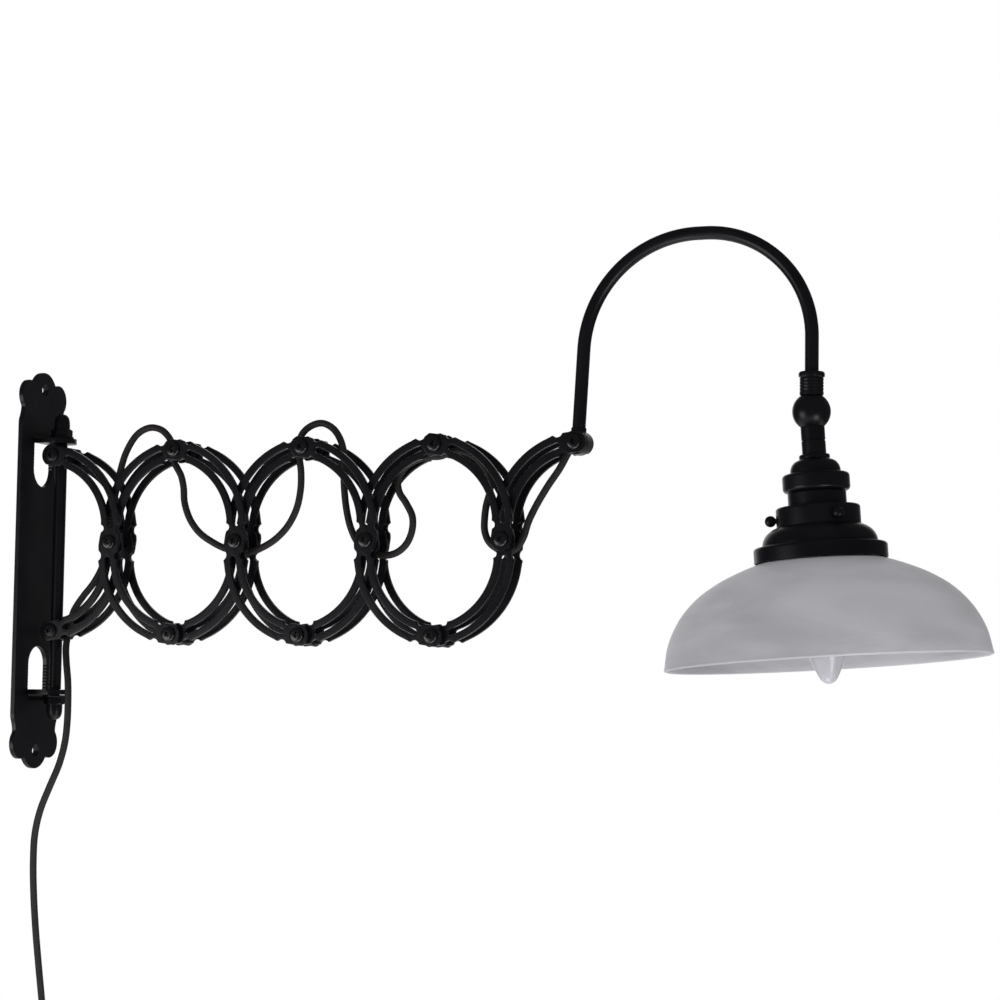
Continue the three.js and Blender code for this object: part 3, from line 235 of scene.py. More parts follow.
def smooth_line(points, spacing):
    """The smooth line through the points, in steps no longer than the spacing."""
    points = [Vector(point) for point in points]
    last = len(points) - 1
    line = []
    for i in range(last):
        here, ahead = points[i], points[i + 1]
        before = points[i - 1] if i > 0 else 2 * here - ahead
        after = points[i + 2] if i + 2 <= last else 2 * ahead - here
        spans = (here - before, ahead - here, after - ahead)
        gap_in, gap, gap_out = (math.sqrt(span.length) for span in spans)
        leave = ((here - before) / gap_in - (ahead - before) / (gap_in + gap)) * gap + ahead - here
        arrive = ((after - ahead) / gap_out - (after - here) / (gap + gap_out)) * gap + ahead - here
        steps = max(1, math.ceil((ahead - here).length / spacing))
        for k in range(steps):
            t = k / steps
            line.append(here * (2 * t**3 - 3 * t**2 + 1) + ahead * (3 * t**2 - 2 * t**3)
                        + leave * (t**3 - 2 * t**2 + t) + arrive * (t**3 - t**2))
    line.append(points[-1])
    return line


def arc(x, z, radius, start, stop, steps):
    """Points along part of a circle, from one angle in degrees to another."""
    turns = [math.radians(start + (stop - start) * k / steps) for k in range(steps + 1)]
    return [Vector((x + radius * math.cos(turn), z + radius * math.sin(turn))) for turn in turns]


def circle(x, z, radius, steps=28):
    return arc(x, z, radius, 0, 360, steps)[:-1]


def turned(points, steps=64):
    """A solid turned round Z from points of radius and height."""
    shape = bmesh.new()
    line = [shape.verts.new((radius, 0, height)) for radius, height in points]
    for here, ahead in zip(line, line[1:]):
        shape.edges.new((here, ahead))
    bmesh.ops.spin(shape, geom=shape.verts[:] + shape.edges[:], axis=(0, 0, 1), cent=(0, 0, 0),
                   angle=2 * math.pi, steps=steps, use_merge=True)
    tidy(shape)
    return shape


def tidy(shape):
    bmesh.ops.remove_doubles(shape, verts=shape.verts, dist=0.002)
    bmesh.ops.recalc_face_normals(shape, faces=shape.faces)


def soften(shape, width, steps=2, least=40):
    """Rounds the edges that turn by at least so many degrees."""
    shape.normal_update()
    sharp = [e for e in shape.edges if e.is_manifold and e.calc_face_angle() > math.radians(least)]
    bmesh.ops.bevel(shape, geom=sharp, offset=width, segments=steps, profile=0.5, affect="EDGES",
                    clamp_overlap=True, material=-1)


def mesh_of(curve):
    """The mesh of a curve, which is then gone."""
    holder = bpy.data.objects.new("curve", curve)
    bpy.context.collection.objects.link(holder)
    scene = bpy.context.evaluated_depsgraph_get()
    mesh = bpy.data.meshes.new_from_object(holder.evaluated_get(scene), depsgraph=scene)
    bpy.data.objects.remove(holder)
    bpy.data.curves.remove(curve)
    return mesh


def shape_of(mesh):
    shape = bmesh.new()
    shape.from_mesh(mesh)
    bpy.data.meshes.remove(mesh)
    return shape


def cut_sheet(outlines, thick, edge=0.45, steps=2):
    """A sheet across Y, as thick as told: the first outline is its rim, the others are holes, as X and Z."""
    curve = bpy.data.curves.new("sheet", "CURVE")
    curve.dimensions = "2D"
    curve.fill_mode = "BOTH"
    curve.extrude = thick / 2 - edge
    curve.bevel_depth = edge
    curve.bevel_resolution = steps - 1
    curve.offset = -edge
    for outline in outlines:
        spline = curve.splines.new("POLY")
        spline.points.add(len(outline) - 1)
        for point, (x, z) in zip(spline.points, outline):
            point.co = (x, z, 0, 1)
        spline.use_cyclic_u = True
    shape = shape_of(mesh_of(curve))
    bmesh.ops.transform(shape, matrix=TO_FRONT, verts=shape.verts)
    tidy(shape)
    return shape


def tube_curve(name, line, radius, scale=1.0):
    """A round rod along a line."""
    curve = bpy.data.curves.new(name, "CURVE")
    curve.dimensions = "3D"
    curve.bevel_depth = radius * scale
    curve.bevel_resolution = 5
    curve.use_fill_caps = True
    spline = curve.splines.new("POLY")
    spline.points.add(len(line) - 1)
    for point, place in zip(spline.points, line):
        point.co = (*(Vector(place) * scale), 1)
    spline.use_smooth = True
    return curve


def tube(line, radius):
    shape = shape_of(mesh_of(tube_curve("tube", line, radius)))
    tidy(shape)
    return shape


def join(whole, part, place=Matrix()):
    """Adds a copy of a part to a shape, in its place."""
    mesh = bpy.data.meshes.new("part")
    part.to_mesh(mesh)
    mesh.transform(place)
    whole.from_mesh(mesh)
    bpy.data.meshes.remove(mesh)
    return whole


def carved(shape, tool, way="DIFFERENCE"):
    """The shape with a tool's room taken out of it, or only what lies inside the tool."""
    holders = []
    for source in (shape, tool):
        holder = bpy.data.objects.new("carving", bpy.data.meshes.new("carving"))
        source.to_mesh(holder.data)
        source.free()
        bpy.context.collection.objects.link(holder)
        holders.append(holder)
    cut = holders[0].modifiers.new("cut", "BOOLEAN")
    cut.operation = way
    cut.solver = "EXACT"
    cut.object = holders[1]
    result = bmesh.new()
    result.from_object(holders[0], bpy.context.evaluated_depsgraph_get())
    for holder in holders:
        mesh = holder.data
        bpy.data.objects.remove(holder)
        bpy.data.meshes.remove(mesh)
    tidy(result)
    return result


def block(x, y, z, edge, steps=3):
    shape = bmesh.new()
    bmesh.ops.create_cube(shape, size=1, matrix=Matrix.Diagonal((x, y, z, 1)))
    soften(shape, edge, steps)
    return shape


def make_piece(name, shape, body, finish, stands_for=(), place=Matrix(), crease=34):
    """Turns a shape in mm into a piece of the lamp that moves with a body and stands for CAD nodes."""
    bmesh.ops.transform(shape, matrix=Matrix.Scale(MM, 4) @ place, verts=shape.verts)
    bmesh.ops.recalc_face_normals(shape, faces=shape.faces)
    mesh = bpy.data.meshes.new(name)
    shape.to_mesh(mesh)
    shape.free()
    mesh.shade_smooth()
    mesh.set_sharp_from_angle(angle=math.radians(crease))
    mesh.materials.append(finish[0])
    piece = bpy.data.objects.new(name, mesh)
    bpy.context.collection.objects.link(piece)
    if crease:
        flats = piece.modifiers.new("flats", "WEIGHTED_NORMAL")
        flats.keep_sharp = True
    if body:
        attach(piece, body)
    if stands_for:
        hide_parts(*stands_for)
    return piece


# Cords

ARM_CORD = [
    (31.0, -46.6), (31.4, -45.5), (35, -33), (43, -21.5), (52, -11), (59, 1), (62.6, 14), (63.6, 29),
    (66.4, 45), (69.6, 60), (73, 76), (78.5, 93), (88, 106.6), (99, 111.4), (108.4, 109.6),
    (113.6, 105.6), (117, 101), (118.8, 92.8), (120.2, 84.6), (123.8, 78.6), (127, 73), (129.4, 64),
    (130.6, 52), (135.6, 39), (144, 28.5), (155, 21.2), (167, 15.8), (181.4, 12.6), (190, 13.4),
    (199, 16.8), (209, 22.6), (219, 32.2), (226.4, 45.5), (229.6, 60), (229.8, 74), (228.2, 85),
    (227.6, 95), (230, 103.4), (237, 109.4), (246.5, 111.6), (255.5, 107.6), (262, 99), (265.2, 88),
    (265.4, 74), (266.4, 59), (268.6, 44), (272.6, 30), (279.4, 18.4), (290.3, 11.6), (300.4, 9.8),
    (310, 11.8), (317.8, 18), (322.4, 28), (322.6, 39), (317.5, 49), (311.5, 58), (310.5, 67),
    (315, 75.5), (324, 81.5), (334, 84), (344.7, 84.4), (353, 87.4), (362, 88), (371, 84.4),
    (379.6, 76.6), (384.4, 67), (384.6, 57), (382, 47), (380.8, 37), (381, 28), (384, 20.4),
    (390.4, 14.8), (399.1, 11.6), (406.6, 15), (411.8, 23), (415.4, 34), (421.6, 46.5), (430.6, 61),
    (439.4, 73.4), (446.4, 85.6), (448, 87.4),
]
# Each run of it: the point where it ends, the two bodies that hold it, where it starts and stops bending
# from one to the other, and the CAD nodes that it stands for
ARM_CORD_RUNS = [
    ((118.8, 92.8), "slider", "rising_bars_1", (31.4, -45.5), (43, -21.5), ("cord_on_rising_1",)),
    ((229.6, 60), "falling_bars_2", "rising_bars_2", (172, 0), (191, 0),
     ("cord_on_falling_2", "cord_on_rising_2")),
    ((265.4, 74), "rising_bars_2", "falling_bars_3", (231, 0), (254, 0), ("cord_on_falling_3",)),
    ((344.7, 84.4), "falling_bars_3", "rising_bars_3", (282, 0), (299, 0), ("cord_on_rising_3",)),
    ((421.6, 46.5), "falling_bars_4", "rising_bars_4", (391, 0), (407, 0), ("cord_on_falling_4",)),
    ((448, 87.4), "rising_bars_4", "gooseneck", (438, 72), (446, 85), ("cord_on_rising_4",)),
]
HANGING_CORD = [
    (31, 0, -46.6), (31.2, -2, -53), (33, -7, -62), (37.2, -13, -74), (41.2, -17, -88),
    (42.7, -18.5, -104), (42.5, -18.5, -120), (40.9, -18.5, -136), (36.3, -18.5, -153),
    (28.3, -18.5, -171), (19.9, -17, -189), (13.3, -13, -208), (9.6, -8, -230), (7.3, -2, -256),
    (7, 3, -284), (7, 9, -312), (7, 15, -338), (7, 20, -362), (7, 20, -380), (7, 20, -389.7),
]
ARM_CORD_STEP = 1.6
FREE_CORD_STEP = 2.0
COIL_STEPS = 24  # points in a turn
COIL_TURNS = 3  # in each of two layers
COIL_PITCH = 6.0  # from turn to turn, and from layer to layer
COIL_OUTER_R = 40.0
COIL_INNER_R = COIL_OUTER_R - COIL_PITCH * COIL_TURNS
COIL_X = 7.0
COIL_MIDDLE = (-20.0, -396.0)  # Y and Z
PLUG_PLACE = (13, 20, -423.3)


def coil_line():
    """A flat coil of two layers: inwards beside the wall, then outwards on the room's side."""
    line = []
    last = COIL_STEPS * COIL_TURNS
    climb = COIL_STEPS / 2
    for layer, first in ((0, 0), (1, 1)):
        for i in range(first, last + 1):
            turn = 2 * math.pi * i / COIL_STEPS
            wound = COIL_PITCH * i / COIL_STEPS
            radius = COIL_OUTER_R - wound if layer == 0 else COIL_INNER_R + wound
            since = i - last + climb / 2 if layer == 0 else i + climb / 2
            x = COIL_X + COIL_PITCH * min(max(since / climb, 0), 1)
            y = COIL_MIDDLE[0] + radius * math.cos(turn)
            z = COIL_MIDDLE[1] - radius * math.sin(turn)
            line.append((x, y, z))
    return line


def make_arm_cord():
    """The cord that weaves between the straps, in runs that each end at a listed point."""
    line = smooth_line([(x, 0, z) for x, z in ARM_CORD], ARM_CORD_STEP)
    start = 0
    for number, (stop, first, second, bends, holds, nodes) in enumerate(ARM_CORD_RUNS):
        goal = Vector((stop[0], 0, stop[1]))
        end = min(range(len(line)), key=lambda i: (line[i] - goal).length)
        stretch = tube(line[start:end + 1], CORD_R)
        name = f"arm_cord_run_{number + 1}"
        run = make_piece(name, stretch, None, CORD_SHEATH, nodes, crease=ROUND_CREASE)
        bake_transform(run)
        start = end


def make_free_cord():
    """The flex that hangs down the wall to its coil and plug."""
    line = smooth_line(HANGING_CORD + coil_line() + [PLUG_PLACE], FREE_CORD_STEP)
    cord = bpy.data.objects.new("hanging_flex", tube_curve("hanging_flex", line, CORD_R, MM))
    cord.data.materials.append(CORD_SHEATH[0])
    bpy.context.collection.objects.link(cord)
    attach(cord, "slider")
    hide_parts("hanging_cord", "cord_coil")
    make_plug()
    make_coil_tie()


def make_plug():
    """A moulded two-pin plug with a ribbed strain relief, its pins down."""
    relief = [(0, 0.2), (3.0, 0.2), (3.3, -0.6)]
    for rib in range(6):
        top = -0.9 - 3 * rib
        wide = 3.35 + 0.2 * rib
        relief += [(wide + 0.35, top), (wide + 0.4, top - 1.5)]
        relief += [(wide - 0.15, top - 1.9), (wide - 0.1, top - 2.7)]
    relief += [(4.7, -20), (4.7, -23), (0, -23)]
    plug = turned(relief, 40)
    side = [(7.9, -20), (9.6, -25), (12.2, -35), (14.8, -41.6), (16.9, -45.2), (17.5, -48), (17.6, -53)]
    edge = smooth_line(side, 1.5)
    outline = edge + [Vector((-point.x, point.y)) for point in reversed(edge)]
    join(plug, cut_sheet([outline], 13.6, edge=2.6, steps=5), ACROSS)
    grip_outline = [(-9, -38), (9, -38), (11, -48), (-11, -48)]
    for side_x in (6.6825, -6.6825):
        join(plug, cut_sheet([grip_outline], 0.5, edge=0.2), moved(side_x, 0, 0) @ ACROSS)
    body = make_piece("plug_body", plug, "slider", PLUG_RUBBER, ("mains_plug",), moved(*PLUG_PLACE))
    pins = bmesh.new()
    pin = turned(rounded([(0, 0), (2, 0), (2, -19, 1.3), (0, -19)]), 32)
    for y in (-9.5, 9.5):
        join(pins, pin, moved(*PLUG_PLACE) @ moved(0, y, -52.9))
    make_piece("plug_pins", pins, "slider", BRASS)
    return body


def make_coil_tie():
    """A black cable tie round the coil's turns, with its little lock."""
    def ring(half_x, half_z, corner):
        sides = ((half_x, half_z), (-half_x, half_z), (-half_x, -half_z), (half_x, -half_z))
        return rounded([(x, z, corner) for x, z in sides], 6)
    tie = cut_sheet([ring(12.9, 6.9, 3.4), ring(11.9, 5.9, 2.8)], 4.6, edge=0.3)
    join(tie, block(5.4, 6.4, 4.2, 0.6), moved(2, 0, 7.6))
    join(tie, block(1.2, 3.6, 7.5, 0.3), moved(0.3, 0, 10.8))
    middle_r = (COIL_OUTER_R + COIL_INNER_R) / 2
    place = moved(COIL_X + COIL_PITCH / 2, COIL_MIDDLE[0] - middle_r, COIL_MIDDLE[1])
    return make_piece("coil_tie", tie, "slider", PLUG_RUBBER, (), place @ TO_FRONT @ TO_ROOM)


# Screws and pivots

def screw_head(radius, height):
    """A pan head with a cross recess, standing on Z = 0."""
    shares = [(1, 0.3), (0.97, 0.52), (0.86, 0.78), (0.68, 0.93), (0.38, 0.99), (0, 1)]
    side = smooth_line([(radius * wide, height * high) for wide, high in shares], 0.5)
    head = turned([(0, 0), (radius * 0.97, 0), (radius, height * 0.06)] + side, 48)
    for quarter in (0, 90):
        wing = bmesh.new()
        bmesh.ops.create_cube(wing, size=1, matrix=moved(0, 0, height) @ Matrix.Diagonal(
            (radius * 1.16, radius * 0.3, height * 1.5, 1)))
        deep = [v for v in wing.verts if v.co.z < height]
        bmesh.ops.scale(wing, vec=(0.42, 0.7, 1), verts=deep)
        bmesh.ops.rotate(wing, matrix=Matrix.Rotation(math.radians(quarter), 3, "Z"), verts=wing.verts)
        head = carved(head, wing)
    return head


PIVOT_HEAD = screw_head(5.7, 2.6)


def spindle(seat, turn):
    """A pivot's spindle along Y: the spacer between the straps, its shank, and a screw head at each end."""
    spacer = INNER_Y - STRAP_T / 2 - RUNNING_GAP
    low, top = spacer - 12, seat + SCREW_BITE
    side = [(0, low), (4.6, low, 0.3), (4.6, spacer, 0.3), (SHANK_R, spacer), (SHANK_R, top), (0, top)]
    shape = bmesh.new()
    half = turned(rounded(side, 2), 40)
    for way, twist in ((TO_FRONT, turn), (TO_BACK, turn + 31)):
        join(shape, half, way)
        join(shape, PIVOT_HEAD, way @ moved(0, 0, seat) @ Matrix.Rotation(math.radians(twist), 4, "Z"))
    return shape


def make_spindles():
    """Each pivot rides on one of the straps that it joins. No two heads are turned alike."""
    pivots = [
        ("crossing_pivot_1", "falling_bars_1", CROSSINGS[0]),
        ("crossing_pivot_2", "rising_bars_2", CROSSINGS[1]),
        ("crossing_pivot_3", "falling_bars_3", CROSSINGS[2]),
        ("crossing_pivot_4", "rising_bars_4", CROSSINGS[3]),
        ("upper_pivot_1", "rising_bars_1", UPPER_PIVOTS[0]),
        ("upper_pivot_2", "rising_bars_2", UPPER_PIVOTS[1]),
        ("upper_pivot_3", "rising_bars_3", UPPER_PIVOTS[2]),
        ("lower_pivot_1", "falling_bars_1", LOWER_PIVOTS[0]),
        ("lower_pivot_2", "falling_bars_2", LOWER_PIVOTS[1]),
        ("lower_pivot_3", "falling_bars_3", LOWER_PIVOTS[2]),
    ]
    seat = OUTER_Y + STRAP_T / 2 + RUNNING_GAP
    for number, (node, body, (x, z)) in enumerate(pivots):
        shape = spindle(seat, 23 + 41 * number)
        make_piece(node + "_screws", shape, body, BLACKED_STEEL, (node,), moved(x, 0, z))
    seat = INNER_Y + STRAP_T / 2 + RUNNING_GAP
    x, z = NECK_PIVOT
    make_piece("gooseneck_pivot_screws", spindle(seat, 12), "rising_bars_4", BLACKED_STEEL,
               ("gooseneck_pivot",), moved(x, 0, z))


# Straps

def half_strap_at(chord, bulge, along, out):
    """A point beside the middle line of a half strap that starts at the origin, as X and Z."""
    radius = chord / (2 * math.sin(STRAP_TURN / 2))
    turn = along / radius - STRAP_TURN / 2
    x = chord / 2 + radius * math.sin(turn) + out * bulge * math.sin(turn)
    z = bulge * radius * (math.cos(turn) - math.cos(STRAP_TURN / 2)) + out * math.cos(turn)
    return Vector((x, z))


def half_strap_edge(chord, starts_at_end, ends_at_end):
    """One edge of a half strap, as distances along it and half widths: boss, scoop, horn, then the strap."""
    long = chord / (2 * math.sin(STRAP_TURN / 2)) * STRAP_TURN
    boss = [(2.4, 8.6), (3.8, 8.6), (5.9, 8.3), (7.2, 7.9)]
    scoop = [(7.6, 7.7), (8.3, 6.75), (9.4, 5.95), (10.8, 5.7), (12.1, 5.95), (13.3, 6.8)]
    horn = [(14.2, 8.1), (14.6, 8.25), (16.2, 7.95), (18.6, 7.8)]
    near = (boss[3:] if starts_at_end else boss[1:]) + scoop + horn
    far = (boss[3:] if ends_at_end else boss[1:]) + scoop + horn
    steps = 22
    plain_from, half_width = horn[-1]
    plain = long - 2 * plain_from
    middle = [(plain_from + plain * k / steps, half_width) for k in range(1, steps)]
    return near + middle + [(long - along, half) for along, half in reversed(far)]


def slot_outline(chord, bulge):
    long = chord / (2 * math.sin(STRAP_TURN / 2)) * STRAP_TURN
    start, half, steps = 13.8, 2.3, 26
    places = [start + (long - 2 * start) * k / steps for k in range(steps + 1)]
    upper = [half_strap_at(chord, bulge, along, half) for along in places]
    lower = [half_strap_at(chord, bulge, along, -half) for along in reversed(places)]
    ends = []
    for k in range(1, 6):
        turn = math.pi * k / 6
        ends.append((half * math.sin(turn), half * math.cos(turn)))
    far = [half_strap_at(chord, bulge, long - start + along, out) for along, out in ends]
    near = [half_strap_at(chord, bulge, start - along, -out) for along, out in ends]
    return upper + far + lower + near


def round_end(x, heading):
    heading = math.degrees(heading)
    return arc(x, 0, 9, heading + 62, heading - 62, 18)


def whole_strap(near, far, bulge):
    """An S-shaped strap with its middle pivot at the origin."""
    over, under = [], []
    for along, half in reversed(half_strap_edge(near, False, True)):
        over.append(-half_strap_at(near, bulge, along, half))
        under.append(-half_strap_at(near, bulge, along, -half))
    for along, half in half_strap_edge(far, False, True):
        under.append(half_strap_at(far, bulge, along, half))
        over.append(half_strap_at(far, bulge, along, -half))
    heading = -bulge * STRAP_TURN / 2
    outline = under + round_end(far, heading) + over[::-1] + round_end(-near, heading + math.pi)
    holes = [circle(x, 0, 4) for x in (-near, 0, far)]
    near_slot = [-point for point in slot_outline(near, bulge)]
    return cut_sheet([outline, *holes, slot_outline(far, bulge), near_slot], STRAP_T)


def half_strap(chord, bulge):
    """The short strap that closes the last ring, with its first pivot at the origin."""
    over, under = [], []
    for along, half in half_strap_edge(chord, True, True):
        over.append(half_strap_at(chord, bulge, along, half))
        under.append(half_strap_at(chord, bulge, along, -half))
    far = round_end(chord, -bulge * STRAP_TURN / 2)
    near = round_end(0, math.pi + bulge * STRAP_TURN / 2)
    holes = [circle(x, 0, 4) for x in (0, chord)]
    return cut_sheet([over + far + under[::-1] + near, *holes, slot_outline(chord, bulge)], STRAP_T)


def make_strap_pair(name, strap, pivot, angle, side_y):
    node = name.replace("strap", "bar")
    body = "_".join((node.split("_bar_")[0], "bars", node.split("_bar_")[1]))
    for side, y in (("front", -side_y), ("back", side_y)):
        place = moved(pivot[0], y, pivot[1]) @ Matrix.Rotation(-angle, 4, "Y")
        make_piece(f"{name}_{side}", strap.copy(), body, SATIN_POWDER, (f"{node}_{side}",), place)


def make_straps():
    for i, crossing in enumerate(CROSSINGS):
        near = HALF_STRAP if i else WALL_HALF_STRAP
        rising = whole_strap(near, HALF_STRAP, 1)
        make_strap_pair(f"rising_strap_{i + 1}", rising, crossing, REST_ANGLE, INNER_Y)
        if i < 3:
            falling = whole_strap(near, HALF_STRAP, -1)
            make_strap_pair(f"falling_strap_{i + 1}", falling, crossing, -REST_ANGLE, OUTER_Y)
    make_strap_pair("falling_strap_4", half_strap(HALF_STRAP, 1), UPPER_PIVOTS[2], -REST_ANGLE, OUTER_Y)


# Wall bracket

def plate_side():
    """The right edge of the plate's upper half, from its crest down to where the sides run straight."""
    end = 157.5
    side = arc(0, end - 18.7, 18.7, 90, 32, 16)
    side += arc(22, end - 20, 12, 110, -44, 30)
    waist = [(30.1, 127.8), (30.35, 125.2), (31.6, 121), (33.1, 117.4), (33.5, 114.6), (33.5, 112)]
    return side + smooth_line(waist, 1.2)


def window_outline(lug_face, way):
    """A window with a round end, from its lug's bend. Its straight sides keep the punch's nibbles."""
    bend = lug_face - way * LUG_BEND
    round_z = lug_face + way * 20
    up = []
    steps = 80
    for k in range(1, steps):
        z = bend + (round_z - bend) * k / steps
        up.append((LUG_R + 0.22 * math.cos(2 * math.pi * (z - bend) / 2.5), z))
    left = [Vector((-x, z)) for x, z in reversed(up)]
    right = [Vector(point) for point in up]
    end = arc(0, round_z, LUG_R, 0, way * 180, 26)
    return [Vector((LUG_R, bend))] + right + end + left + [Vector((-LUG_R, bend))]


def bent_lug(lug_face, way):
    """A tongue bent square out of the plate, with a round end and the hole for the rod's tail."""
    reach = ROD_X + LUG_R
    line = [(0, 0, LUG_BEND), (reach, 0), (reach, PLATE_T), (PLATE_T, PLATE_T, LUG_BEND - PLATE_T),
            (PLATE_T, 9), (0, 9)]
    section = [Vector((x, lug_face + way * z)) for x, z in rounded(line, 8)]
    lug = cut_sheet([section], 2 * LUG_R, edge=0.4)
    squeeze = Matrix.Diagonal((0.8, 1))
    nose = [Vector((ROD_X, 0)) + squeeze @ point for point in arc(0, 0, LUG_R, -90, 90, 30)]
    mould = [Vector((-5, -LUG_R - 0.5)), *nose, Vector((-5, LUG_R + 0.5))]
    keep = cut_sheet([mould, circle(ROD_X, 0, 4.3)], 80, edge=0.01, steps=1)
    bmesh.ops.transform(keep, matrix=moved(0, 0, lug_face) @ TO_BACK, verts=keep.verts)
    return carved(lug, keep, "INTERSECT")


def make_wall_plate():
    side = plate_side()
    right = side + [Vector((p.x, -p.y)) for p in reversed(side)]
    left = [Vector((-p.x, p.y)) for p in reversed(right)][1:-1]
    windows = [window_outline(TOP_LUG_Z, -1), window_outline(LOW_LUG_Z, 1)]
    holes = [circle(0, z, 2.75) for z in (HOLE_Z, -HOLE_Z)]
    plate = cut_sheet([right + left, *windows, *holes], PLATE_T, edge=0.5)
    bmesh.ops.transform(plate, matrix=moved(PLATE_T / 2, 0, 0) @ ACROSS, verts=plate.verts)
    for z in (HOLE_Z, -HOLE_Z):
        sink = turned([(0, 2.2), (2.7, 2.2), (5, 4.1), (5, 6), (0, 6)], 40)
        bmesh.ops.transform(sink, matrix=moved(0, 0, z) @ TO_ROOM, verts=sink.verts)
        plate = carved(plate, sink)
    join(plate, bent_lug(TOP_LUG_Z, 1))
    join(plate, bent_lug(LOW_LUG_Z, -1))
    make_piece("wall_backplate", plate, "wall_bracket", SATIN_POWDER, ("wall_plate",))


def make_rod_and_nuts():
    low, top = LOW_LUG_Z + RUNNING_GAP, TOP_LUG_Z - RUNNING_GAP
    rod = turned(rounded([(0, low - 13), (3.4, low - 13), (4, low - 12.4), (4, low), (4.8, low, 0.6),
                          (4.8, top, 0.6), (4, top), (4, top + 12.4), (3.4, top + 13), (0, top + 13)], 3), 48)
    make_piece("pivot_post", rod, "wall_bracket", SATIN_POWDER, ("pivot_rod",), moved(ROD_X, 0, 0))
    nut = turned(rounded([(0, 0), (9.5, 0, 0.4), (9.5, 1.5, 0.5), (0, 1.5)], 3), 48)
    hexagon = bmesh.new()
    bmesh.ops.create_cone(hexagon, cap_ends=True, segments=6, radius1=8.6, radius2=8.6, depth=7.5,
                          matrix=moved(0, 0, 3.75))
    soften(hexagon, 0.35)
    chamfers = turned([(0, 0.3), (9.6, 0.3), (8.95, 5.9), (7.2, 7.4), (0, 7.4)], 48)
    join(nut, carved(hexagon, chamfers, "INTERSECT"))
    dome = smooth_line([(6.3, 7.2), (6.3, 10.6), (6.1, 13.5), (5.2, 16.8), (3.5, 18.7), (1.6, 19.4),
                        (0, 19.5)], 0.8)
    join(nut, turned([(0, 7), (6.3, 7)] + dome, 48))
    lift = PLATE_T + RUNNING_GAP
    above = moved(ROD_X, 0, TOP_LUG_Z + lift)
    below = moved(ROD_X, 0, LOW_LUG_Z - lift) @ UPSIDE_DOWN
    for name, place in (("top", above), ("bottom", below)):
        node = f"{name}_cap_nut"
        make_piece(f"{name}_acorn_nut", nut.copy(), "wall_bracket", SATIN_POWDER, (node,), place)


def make_rod_block(name, body, node, strap_y, z, turn):
    """A block that turns or slides on the rod, with a stub and screw on each side for the straps."""
    face = strap_y - STRAP_T / 2 - RUNNING_GAP
    seat = strap_y + STRAP_T / 2 + RUNNING_GAP
    shape = carved(block(14, 2 * face, 14, 0.9), turned([(0, -9), (5.1, -9), (5.1, 9), (0, 9)], 48))
    low, top = face - 1, seat + SCREW_BITE
    stub = turned([(0, low), (SHANK_R, low), (SHANK_R, top), (0, top)], 40)
    for way, twist in ((TO_FRONT, turn), (TO_BACK, turn + 47)):
        join(shape, stub, way)
        join(shape, PIVOT_HEAD, way @ moved(0, 0, seat) @ Matrix.Rotation(math.radians(twist), 4, "Z"))
    make_piece(name, shape, body, SATIN_POWDER, (node,), moved(ROD_X, 0, z))


# Gooseneck and collar
NECK_LEAN = math.radians(3)
NECK_LEG = 69.5  # from the pivot to where the first bend starts
FIRST_BEND_R = 87.0
SECOND_BEND_R = 79.0
NECK_TOP_RUN = 6.0  # straight between the bends
NECK_DROP = 33.4  # straight below the second bend
COLLAR_LIFT = 13.1  # above the ball's middle


def neck_line(start):
    """The middle line of the gooseneck, from a distance above its pivot to its lower end."""
    pivot = Vector(NECK_PIVOT)
    up = Vector((math.sin(NECK_LEAN), math.cos(NECK_LEAN)))
    out = Vector((up.y, -up.x))
    middle = pivot + NECK_LEG * up + FIRST_BEND_R * out
    line = [pivot + start * up]
    line += arc(*middle, FIRST_BEND_R, 180 - math.degrees(NECK_LEAN), 90, 56)
    middle += Vector((NECK_TOP_RUN, FIRST_BEND_R - SECOND_BEND_R))
    line += arc(*middle, SECOND_BEND_R, 90, 0, 52)
    line.append(line[-1] - Vector((0, NECK_DROP)))
    return [(point.x, 0, point.y) for point in line]


def make_gooseneck():
    x, z = NECK_PIVOT
    half = INNER_Y - STRAP_T / 2 - RUNNING_GAP
    foot = turned(rounded([(5, -half), (9.3, -half, 0.9), (9.3, half, 0.9), (5, half), (5, -half)]), 56)
    socket = turned(rounded([(4.9, 8), (5.7, 8), (5.7, 11, 0.5), (4.9, 11)]), 40)
    bmesh.ops.transform(foot, matrix=TO_FRONT, verts=foot.verts)
    join(foot, socket, Matrix.Rotation(NECK_LEAN, 4, "Y"))
    make_piece("neck_foot", foot, "gooseneck", SATIN_POWDER, ("gooseneck_foot",), moved(x, 0, z))
    bent = tube(neck_line(6.9), 5)
    make_piece("neck_tube", bent, "gooseneck", SATIN_POWDER, ("gooseneck_tube",), crease=ROUND_CREASE)
    inside = tube(neck_line(7.2), CORD_R)
    make_piece("neck_inner_cord", inside, "gooseneck", CORD_SHEATH, ("cord_in_gooseneck",),
               crease=ROUND_CREASE)
    side = [(5.3, 0), (7.5, 0), (7.8, -1.1), (8.6, -1.4, 0.3)]
    for rib in range(5):
        top = 2.32 * rib
        side += [(8.6, top + 0.35), (8.6, top + 1.25), (8.36, top + 1.5), (8.36, top + 2.1)]
    side += [(8.6, 11.5), (9.4, 12.2, 0.6), (9.4, 14.5, 1.1), (8.5, 15.6, 0.5), (5.3, 15.6), (5.3, 0)]
    make_piece("ribbed_collar", turned(rounded(side, 3), 64), "gooseneck", SATIN_POWDER, ("swivel_collar",),
               moved(*BALL_PLACE) @ moved(0, 0, COLLAR_LIFT))


# Lamp head: heights count up from the ball's middle

